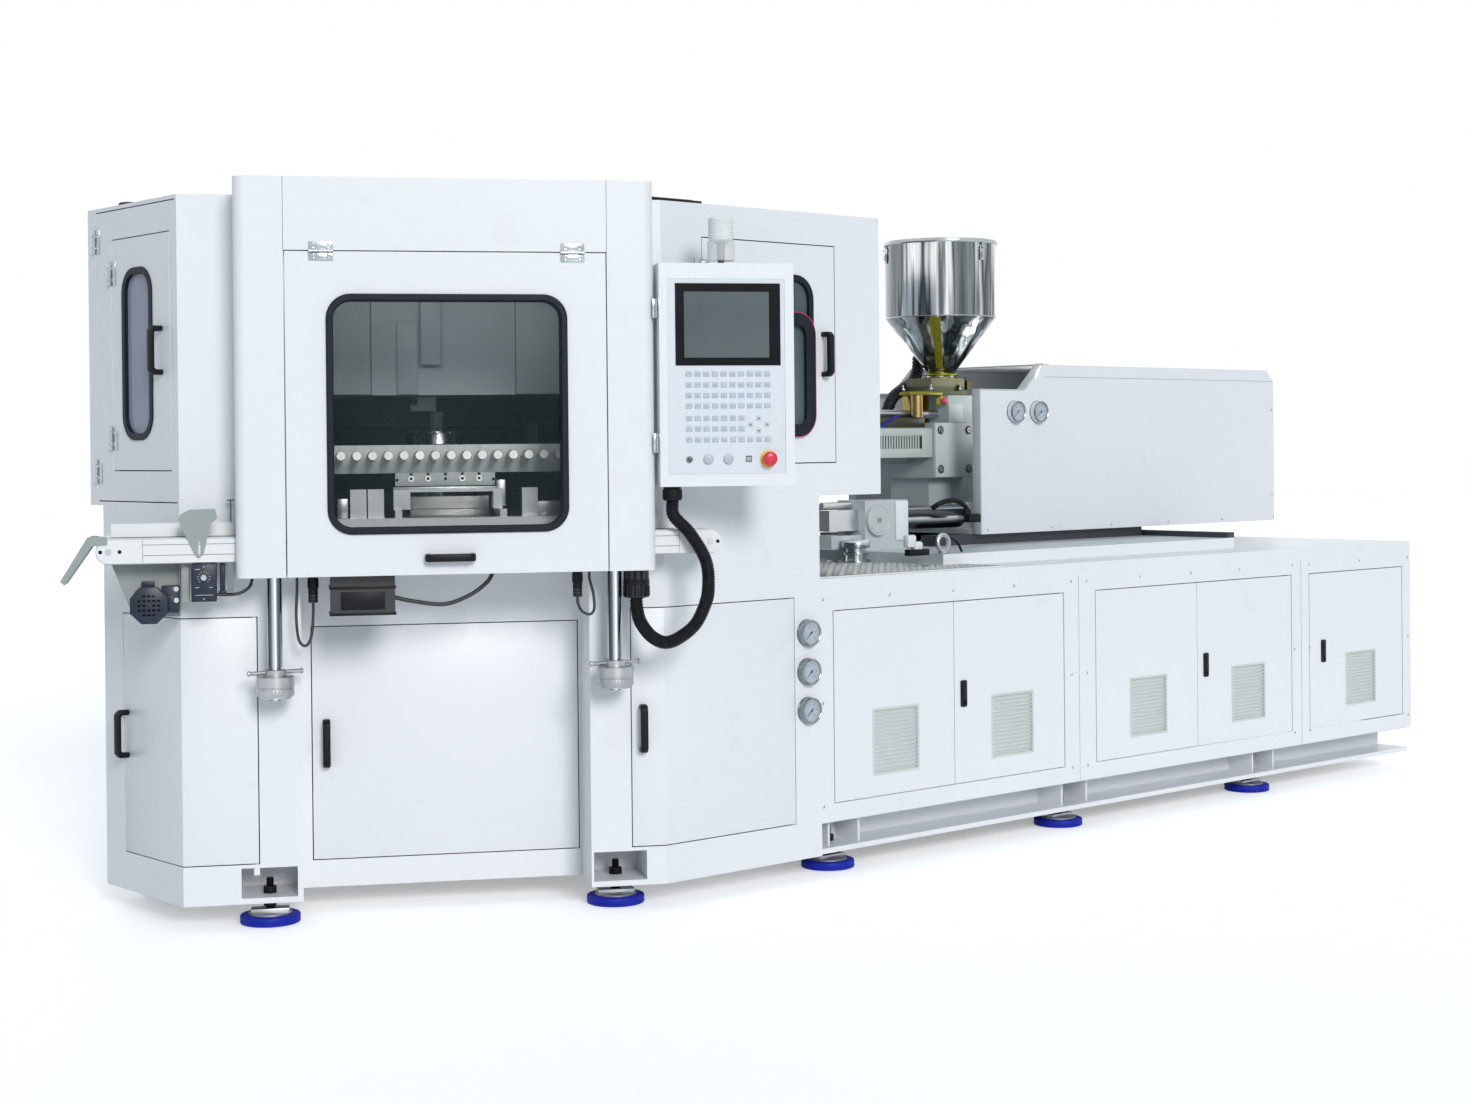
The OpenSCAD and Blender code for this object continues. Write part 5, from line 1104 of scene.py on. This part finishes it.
lens = turned([(0, -30), (10, -30), (10, -0.8), (14.5, -0.8), (14.5, 3), (13.6, 4.4), (12, 5), (0, 5)], 36)
for body, x in (("start_button", 139), ("stop_button", 197)):
    button = make_piece(body + "_lens", lens.copy(), BOX @ at(x, 0, switch_z, 90, "X"), button_grey, body)
    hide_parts(body)
lens.free()
lock = joined(turned([(0, -30), (9, -30), (9, 3), (8.2, 4), (4, 4), (3.6, 3.2), (0, 3.2)], 32),
              block(-0.9, 0.9, -4, 4, 2, 9, 0.3), block(-1.4, 1.4, -6, 6, 8, 14, 1.2))
lock = make_piece("key_switch_lock", lock, BOX @ at(84, 0, switch_z, 90, "X") @ at(0, 0, 0, 40),
                  dark_chrome, "key_switch")
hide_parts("key_switch")
buzzer = (247, 265, 68, 86)
bars = [block(250, 262, 0.8, 2, 71.5 + 3.6 * step, 73 + 3.6 * step, 0) for step in range(4)]
make_piece("buzzer_grille", joined(framed(buzzer, wider(buzzer, -2), 0.2, 2), *bars), BOX, key_dark,
           "control_box")
stop_yellow = powder_coat("emergency_yellow", (0.85, 0.50, 0.02), 0.92, 0.4)
stop_place = BOX @ at(314, 0, switch_z, 90, "X")
plate = turned([(10.2, 0.5), (10.2, 3.6), (20, 3.9), (24, 3.2), (24.6, 2), (24.6, -2), (10.2, -2),
                (10.2, 0.5)], 48)
make_piece("emergency_plate", plate, stop_place, stop_yellow, "control_box")
stop_red = powder_coat("emergency_red", (0.72, 0.02, 0.05), 0.9, 0.28)
knob = turned([(0, -30), (10, -30), (10, 13), (19.5, 15), (20.5, 18), (20.5, 24), (19, 28.5),
               (15, 31.2), (8, 32), (0, 32)], 48)
knob = make_piece("emergency_knob", knob, stop_place, stop_red, "emergency_stop")
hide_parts("emergency_stop")
stem = joined(turned([(0, -1), (9, -1), (9, 11), (0, 11)], 24), block(-66, -40, -12, 6, -1, 8, 1),
              turned([(0, 10), (12, 10), (12, 58), (20, 60), (20, 64), (0, 64)], 24))
beacon_place = BOX @ at(190, 50, 635)
make_piece("beacon_stem", stem, beacon_place, dark_chrome, "control_box")
ripple = []
for low in (72 + 8.4 * step for step in range(7)):
    ripple += [(35, low), (36.4, low + 1.6), (36.4, low + 6.4), (35, low + 8)]
dome = turned([(0, 10.2), (39.4, 10.2), (39.4, 66), (36, 69)] + ripple + [(34, 133), (0, 134)], 40)
clear = Finish("clear_lens", Roughness=0.12)
tier = clear.reach(BOX @ Vector((0, 0, 704)), Vector((0, 0, 1))) > 0
clear.feed(Base_Color=clear.blend(clear.noise(30, 2), (0.78, 0.80, 0.79), (0.88, 0.90, 0.89)),
           Alpha=tier * 0.38 + 0.5)
dome = make_piece("signal_beacon_lens", dome, beacon_place, clear, "control_box")
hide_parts("signal_beacon")
nut = turned([(18, -40), (24, -40), (27, -37), (27, -8), (25, -6), (25, 0), (18, 0)], 32)
grips = copies(block(25, 28.2, -2, 2, -34, -10, 0.4), [at(0, 0, 0, 15 * step) for step in range(24)])
make_piece("box_connector", joined(nut, grips, turned([(0, -2), (26, -2), (26, 0.5), (0, 0.5)], 24)),
           BOX @ at(42, 50, 0), handle_black, "control_box")
side_leaves = [block(-1.6, 0, 2, 24, z, z + box_hinge, 0.5) for z in (97, 479)]
make_piece("control_box_leaves", joined(*side_leaves), BOX, chrome, "control_box")

# ---- Pressure gauges --------------------------------------------------------
# Five oil-filled gauges with bright cases and grey-blue dials. Three stand in a column
# on the base and two on the injection cover.
def printed(words, size, place):
    """Raised print as a shape, centred at the place."""
    letters = bpy.data.curves.new(words, "FONT")
    letters.body = words
    letters.size = size
    letters.align_x = "CENTER"
    letters.align_y = "CENTER"
    letters.extrude = 0.15
    holder = bpy.data.objects.new(words, letters)
    mesh = bpy.data.meshes.new_from_object(holder)
    bpy.data.objects.remove(holder)
    shape = bmesh.new()
    shape.from_mesh(mesh)
    bpy.data.meshes.remove(mesh)
    bmesh.ops.remove_doubles(shape, verts=shape.verts, dist=0.001)
    return moved(shape, place)


cover_y = -350
gauge_groups = {
    "base": ("frame", [FRONT @ at(1760, 0, z, 90, "X") for z in (527, 647, 767)]),
    "cover": ("carriage", [MACHINE @ at(x, cover_y, 1466, 90, "X") for x in (3383, 3512)])}
ring = turned([(34.6, 19.6), (34.6, 24.6), (36.5, 26), (39, 25.6), (40.6, 23), (40.6, 19), (39.4, 18),
               (39.4, 3), (41.5, 2.5), (42.5, 0), (30, 0), (30, 19.6), (34.6, 19.6)], 48)
face = turned([(0, 20.3), (34.8, 20.3), (34.8, 19.4), (0, 19.4)], 48)
dial_start, dial_sweep = 225, 270
ticks = [at(0, 0, 20.6, dial_start - dial_sweep * step / 25) @ at(28 if step % 5 else 26.6, 0, 0)
         for step in range(26)]
ticks = copies(block(-2.4, 2.4, -0.4, 0.4, -0.4, 0, 0), ticks)
numbers = []
for step in range(6):
    angle = math.radians(dial_start - dial_sweep * step / 5)
    numbers.append(printed(str(5 * step), 6, at(20 * math.cos(angle), 20 * math.sin(angle), 20.4)))
needle = moved(plan([(-9, -1.6), (25, -0.3), (25, 0.3), (-9, 1.6)], 21.2, 21.9, 0), at(0, 0, 0, 222))
needle = joined(needle, turned([(0, 20.4), (3.4, 20.4), (3.4, 22.6), (2.6, 23.2), (0, 23.2)], 20))
gauge_case = plated("gauge_case", (0.34, 0.37, 0.39), 0.22)
dial_blue = drifting("gauge_dial", (40,), ((0.33, 0.39, 0.46), (0.50, 0.56, 0.62)), Roughness=0.3)
parts = {"case": (ring, gauge_case), "dial": (face, dial_blue),
         "print": (joined(ticks, *numbers, needle), key_dark)}
for part, (shape, finish) in parts.items():
    for group, (body, places) in gauge_groups.items():
        name = "%s_gauge_%s" % (group, part)
        piece = make_piece(name, copies(shape.copy(), places), Matrix(), finish, body)
        if (part, group) == ("case", "base"):
            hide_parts("pressure_gauges")
    shape.free()

# ---- Injection bed ----------------------------------------------------------
# A thick machined plate on the bed carries two rails, the carriage cylinders and their
# bearing blocks, painted grey. Turned caps close the blocks, and an eye bolt stands on it.
bed_paint = powder_coat("injection_bed_paint", (0.52, 0.57, 0.59), 0.92, 0.42)
reflection_band_spot = bed_paint.reach(MACHINE @ Vector((0, 0, 1035)), Vector((0, 0, 1))) / 0.086
# Painted reflections: up each carriage cylinder the colour runs through dark and bright bands
tube = bed_paint.ramp(
    reflection_band_spot, (0.0, (0.02, 0.022, 0.026)), (0.30, (0.10, 0.11, 0.12)), (0.42, (0.62, 0.65, 0.67)),
    (0.50, (0.50, 0.53, 0.55)), (0.56, (0.04, 0.045, 0.05)), (0.80, (0.09, 0.10, 0.11)),
    (0.93, (0.34, 0.37, 0.39)))
surface_where(bed_paint, past(bed_paint, MACHINE, x_min=2832, z_min=1012), tube, 0.16)
surface_where(bed_paint, past(bed_paint, MACHINE, x_max=2616, z_min=1041), (0.62, 0.64, 0.65), 0.3)
surface_where(bed_paint, past(bed_paint, MACHINE, y_max=-714.5), signal_white, 0.4, 0.0)
# Painted shade: the bed's faces in the gap under the cover, between 971 and 1011.5 mm high, are coloured
# near black
surface_where(bed_paint, past(bed_paint, MACHINE, x_min=2994, z_min=971, z_max=1011.5),
              (0.030, 0.034, 0.045), 0.4, 0.0)
cover_node("injection_bed", bed_paint)
flange_grey = powder_coat("cover_flange_paint", (0.52, 0.57, 0.57), 0.92, 0.42)
cap = turned([(0, 13), (8, 13), (8, 16), (14, 16), (14, 17), (44, 17), (46, 15.4), (49, 15.4), (51, 17),
              (54, 17), (56, 15), (56, 0), (0, 0)], 56)
socket = turned([(0, 12), (5, 12), (5, 20), (8.4, 20), (9, 19), (9, 15), (0, 15)], 24)
cap_places = [side @ at(2673, -320, 1078, 90, "X") for side in (MACHINE, MIRRORED)]
make_piece("bracket_caps", copies(cap, cap_places), Matrix(), flange_grey, "frame")
make_piece("bracket_cap_screws", copies(socket, cap_places), Matrix(), zinc, "frame")
pads = [block(2767, 2829, side * 324 - 4, side * 324 + 4, 1004, 1144, 1.5) for side in (-1, 1)]
make_piece("bracket_pads", joined(*pads), MACHINE, white, "frame")
ring_eye = turned([(24, -6), (30, -7), (33.5, -4), (34.5, 0), (33.5, 4), (30, 7), (24, 6), (22, 0),
                   (24, -6)], 40)
shank = turned([(0, 0), (18.6, 0), (19.4, 1.5), (19.4, 6), (17, 9), (10, 11), (8, 15), (0, 15)], 32)
eye = joined(moved(ring_eye, at(0, 0, 38, 90, "X")), shank)
make_piece("lifting_eye", eye, MACHINE @ at(2642, -675, 969.8), zinc, "frame")
make_piece("lubricator_block", block(2470, 2566, -684, -656, 968, 990, 3), MACHINE, handle_black, "frame")
nipples = joined(block(2456, 2498, -690, -662, 996, 1040, 8), block(2492, 2534, -686, -660, 988, 1016, 8))
make_piece("lubricator_nipples", nipples, MACHINE, white, "frame")


def pipe(name, radii, points, finish, body, sides=12):
    """A bent pipe through points of the machine. The radii, in metres, repeat along it."""
    route = smooth_route([MACHINE @ Vector(point) for point in points], 8)
    around = [radii[step % len(radii)] for step in range(len(route))]
    make_piece(name, hose(route, around, sides), Matrix(), finish, body)


pipe("lubricator_pipe", [0.0045], [(2532, -668, 1004), (2571, -640, 1016), (2650, -640, 1029),
                                   (2711, -640, 1023), (2751, -640, 1003), (2773, -640, 972)],
     handle_black, "frame")
pipe("cylinder_pipe", [0.0095], [(2930, -350, 1112), (2945, -372, 1130), (2981, -380, 1140),
                                 (3028, -380, 1139), (3074, -380, 1118), (3100, -380, 1078)],
     handle_black, "frame")
fitting = joined(block(3082, 3146, -394, -364, 1058, 1090, 4), block(3068, 3100, -388, -366, 1084, 1108, 4))
make_piece("cylinder_fitting", fitting, MACHINE, handle_black, "frame")

# ---- Injection cover --------------------------------------------------------
# A folded white sheet cover slides with the carriage. It is open at the front, where a
# return flange stiffens its edge, and two chromed rods run from it to the bed's blocks.
cover_paint = powder_coat("cover_powder_coat", (0.76, 0.78, 0.82))
inner_side = past(cover_paint, MACHINE, y_min=-345.5, y_max=345.5, z_max=1641.5, x_max=5033)
surface_where(cover_paint, inner_side, (0.56, 0.60, 0.62), 0.5, 0.0)
surface_where(cover_paint, past(cover_paint, MACHINE, x_max=3194, y_min=-330, y_max=330),
              (0.62, 0.63, 0.64), 0.14)
cover_node("injection_cover", cover_paint)
edge_line = [(3191, 1011), (3191, 1551), (3440, 1551), (3548, 1652), (3552, 1648), (3442, 1545.5),
             (3196, 1545.5), (3196, 1011)]
flanges = [moved(plan(edge_line, low, low + 39, 0.8), at(0, 0, 0, 90, "X")) for low in (312, -351)]
flanges.append(block(3545, 3584, -349, 349, 1646, 1649, 0.8))
make_piece("cover_flange", joined(*flanges), MACHINE, flange_grey, "carriage")
cover_face = MACHINE @ at(0, cover_y, 0)
seams([(3560, 1600, 5034, 1600)], cover_face, "carriage", "cover_fold")
screw_heads([(x, 1024) for x in range(3230, 5031, 360)] + [(5022, z) for z in (1120, 1480)], cover_face,
            "carriage", "cover_screws", 4)

# ---- Barrel and feed block --------------------------------------------------
# The steel barrel carries ceramic heater bands inside a slotted guard. It is bolted into
# a cast feed block under the hopper's yellow-passivated slide base. A ribbed black hose
# rises behind them, and a blue air line runs up onto the drain's flange.
barrel_grey = powder_coat("feed_block_paint", (0.40, 0.47, 0.48), 0.9, 0.42)
for zone, colour, rough, metal in (
        ({"x_max": 3150, "z_max": 1400}, (0.55, 0.56, 0.57), 0.35, 1.0),
        ({"x_max": 3264, "z_min": 1440, "z_max": 1480, "y_max": -20}, (0.52, 0.56, 0.60), 0.3, 1.0),
        ({"x_max": 3300, "z_min": 1429, "z_max": 1532.5, "y_min": -20}, (0.42, 0.30, 0.10), 0.34, 1.0),
        ({"z_min": 1532.6}, (0.075, 0.075, 0.040), 0.4, 0.7),
        ({"z_min": 1570}, (0.13, 0.13, 0.075), 0.4, 0.6),
        ({"z_min": 1532.6, "x_max": 3202}, (0.26, 0.25, 0.04), 0.4, 0.4)):
    surface_where(barrel_grey, past(barrel_grey, MACHINE, **zone), colour, rough, metal)
cover_node("barrel", barrel_grey)
plate = joined(block(3157, 3368, -156, -149, 1222, 1426, 1.5),
               block(3268, 3344, -124, -119, 1428, 1500, 1.2))
make_piece("feed_block_plate", plate, MACHINE, flange_grey, "carriage")
# Painted shade: dark rings round the bolt heads stand for the shade in their counterbores
counterbore_shade = turned([(11, 0), (11, 1.4), (16.5, 1.4), (16.5, 0)], 28)
bolt = turned([(0, 0.6), (5.2, 0.6), (5.2, 4.4), (9.4, 4.4), (10.2, 3.6), (10.2, 0), (0, 0)], 24)
ringed = [at(x, -156, z, 90, "X") for x, z in ((3184, 1400), (3339, 1400), (3184, 1252), (3339, 1252))]
make_piece("feed_block_counterbores", copies(counterbore_shade, ringed), MACHINE, key_dark, "carriage")
make_piece("feed_block_bolts", copies(bolt, ringed), MACHINE, machined, "carriage")
guard_white = powder_coat("heater_guard_paint", (0.50, 0.54, 0.52), 0.9, 0.45)
bars = [block(x, x + 7.4, -142, -139, 1330, 1380, 0) for x in range(2838, 3094, 14)]
sheets = [block(*sides, 0.4) for sides in (
    (2780, 2838, -142, -139, 1298, 1408), (3090, 3153, -142, -139, 1298, 1408),
    (2837, 3091, -142, -139, 1379, 1408), (2837, 3091, -142, -139, 1298, 1331),
    (2780, 3153, -142, 142, 1406, 1409), (2780, 3153, 139, 142, 1298, 1408))]
guard = joined(*sheets, *bars)
make_piece("guard_shade", block(2836, 3092, -138.5, -136, 1326, 1384, 0), MACHINE, slot_shade, "carriage")
make_piece("heater_guard", guard, MACHINE, guard_white, "carriage")
olive = powder_coat("drain_flange_olive", (0.035, 0.036, 0.018), 0.7, 0.35)
drain = joined(block(2915, 3150, -108, 108, 1410, 1447, 3), block(3206, 3270, -7, 57, 1429, 1436, 2))
make_piece("drain_flange", drain, MACHINE, olive, "carriage")
tube_gold = plated("drain_tube_gold", (0.42, 0.30, 0.12), 0.34)
olive_gold = plated("drain_plate_gold", (0.30, 0.29, 0.05), 0.4)
gold = Finish("yellow_passivate", Metallic=0.85)
gold.feed(Base_Color=gold.blend(gold.noise(30, 4), (0.42, 0.36, 0.03), (0.75, 0.68, 0.12)),
          Roughness=gold.noise(60, 3) * 0.2 + 0.24)
outlet = turned([(19, 1448), (22.5, 1448), (22.5, 1533), (0, 1533), (0, 1528), (19, 1528), (19, 1448)], 32)
make_piece("drain_outlet", outlet, MACHINE @ at(3116, -100, 0), tube_gold, "carriage")
make_piece("drain_plate", block(3052, 3232, -124, -70, 1533, 1543, 1), MACHINE, olive_gold, "carriage")
HOPPER = MACHINE @ at(3356, 0, 0)
wire = [math.radians(40 * step) for step in range(10)]
wire = turned([(64 + 4 * math.cos(angle), 1615 + 4 * math.sin(angle)) for angle in wire], 48)
make_piece("hopper_clamp_wire", wire, HOPPER, olive_gold, "carriage")
stud_spots = [at(x, y, 1550) for y in (-74, 74) for x in (3220, 3382)]
nuts = prisms([spot @ at(0, 0, 6) for spot in stud_spots], 6, 13, 12, 1.2)
studs = copies(turned([(0, 0), (6, 0), (6, 24), (5, 26), (0, 26)], 16), stud_spots)
make_piece("slide_base_nuts", joined(nuts, studs), MACHINE, dark_chrome, "carriage")
knob_red = powder_coat("drain_knob_red", (0.80, 0.10, 0.22), 0.8, 0.35)
knob = turned([(0, 0), (9, 0), (12, 6), (12.5, 14), (10, 21), (4, 24), (0, 24)], 28)
make_piece("drain_knob", knob, MACHINE @ at(3250, -104, 1512, 90, "X"), knob_red, "carriage")
make_piece("drain_knob_collar", block(3240, 3266, -106, -80, 1496, 1530, 3), MACHINE, gold, "carriage")
pipe("loader_boot", [0.021, 0.024], [(3118, 70, 1452), (3160, 76, 1522), (3238, 96, 1560),
                                     (3322, 126, 1588), (3378, 150, 1632), (3404, 168, 1690)],
     conduit_black, "carriage", 20)
pipe("air_line_blue", [0.0045], [(2880, -112, 1395), (2960, -118, 1440), (3010, -100, 1452),
                                 (3060, -60, 1448)], pad_blue, "carriage", 10)
cover_node("feed_screw", plated("screw_steel", (0.72, 0.73, 0.74), 0.2))

# ---- Hopper -----------------------------------------------------------------
# The hopper is spun from polished stainless sheet, with a rolled rim, a welded cone, a
# yellow sight strip and three over-centre clasps. Its lid is a flat hinged disc.
stainless = Finish("polished_stainless", Metallic=1.0)
around = stainless.noise(11, 3, (1, 1, 0.05))
fine = stainless.noise(45, 2, (1, 1, 0.04))
# Painted reflections: dark and bright streaks run round the hopper, as its polished sheet would mirror the
# surroundings
bands = stainless.ramp(
    around * 0.8 + fine * 0.2, (0.30, (0.05, 0.06, 0.065)), (0.42, (0.24, 0.27, 0.28)),
    (0.48, (0.07, 0.08, 0.085)), (0.53, (0.66, 0.69, 0.70)), (0.58, (0.95, 0.96, 0.96)),
    (0.63, (0.16, 0.18, 0.19)), (0.70, (0.05, 0.06, 0.065)))
stainless.feed(Base_Color=bands, Roughness=fine * 0.14 + 0.06)
cover_node("hopper", stainless)
cover_node("hopper_lid", plated("lid_stainless", (0.62, 0.63, 0.64), 0.22))
rim = turned([(217, 2113), (221, 2113), (222.4, 2116), (222.4, 2121), (221, 2124.6), (217, 2124.6),
              (217, 2113)], 72)
weld = turned([(214, 1832.4), (216.2, 1833.4), (216.2, 1836.6), (214, 1837.6), (214, 1832.4)], 72)
foot = turned([(44, 1601), (60, 1601), (60, 1604), (58, 1606), (58, 1611), (60, 1613), (60, 1616),
               (52, 1617), (45, 1620), (43.6, 1614), (44, 1601)], 48)
make_piece("hopper_rim", joined(rim, weld), HOPPER, chrome, "carriage")
make_piece("hopper_foot", foot, HOPPER, olive_gold, "carriage")
sight = drifting("sight_strip", (70, 4), ((0.20, 0.20, 0.015), (0.52, 0.50, 0.04)), Roughness=0.25)
facing = math.radians(-142)
out = Vector((math.cos(facing), math.sin(facing), 0))
across = Vector((-out.y, out.x, 0))
cone_low, cone_high = 1612, 1835
mouth_r, drum_r = 43, 215
strip = bmesh.new()
rows = []
for step in range(13):
    height = 1640 + step * 15.8
    radius = mouth_r + (drum_r - mouth_r) * (height - cone_low) / (cone_high - cone_low)
    half = 13 + 6.5 * step / 12
    rows.append([strip.verts.new(out * math.sqrt((radius + 0.8) ** 2 - (half * k) ** 2) + across * half * k
                                 + Vector((0, 0, height))) for k in (-1, -0.5, 0, 0.5, 1)])
for low, high in zip(rows, rows[1:]):
    for k in range(4):
        strip.faces.new((low[k], low[k + 1], high[k + 1], high[k]))
bmesh.ops.solidify(strip, geom=strip.faces[:], thickness=-2.5)
make_piece("sight_strip", strip, HOPPER, sight, "carriage")
clasp = joined(block(216, 221, -11, 11, 2046, 2104, 1.5), block(220, 226, -7, 7, 2056, 2092, 2),
               block(220, 229, -9, 9, 2092, 2100, 2), block(217, 224, -4, 4, 2098, 2116, 1.5))
make_piece("hopper_clasps", copies(clasp, [at(0, 0, 0, turn) for turn in (-90, 30, 150)]), HOPPER, chrome,
           "carriage")
cover_node("hopper_gate", plated("gate_passivate", (0.085, 0.08, 0.04), 0.34))
gate_knobs = copies(turned([(0, 0), (9, 0), (12, 4), (12, 14), (9, 18), (0, 18)], 28),
                    [MACHINE @ at(3450, y, 1588) for y in (-40, 40)])
make_piece("gate_knobs", gate_knobs, Matrix(), olive, "hopper_gate")
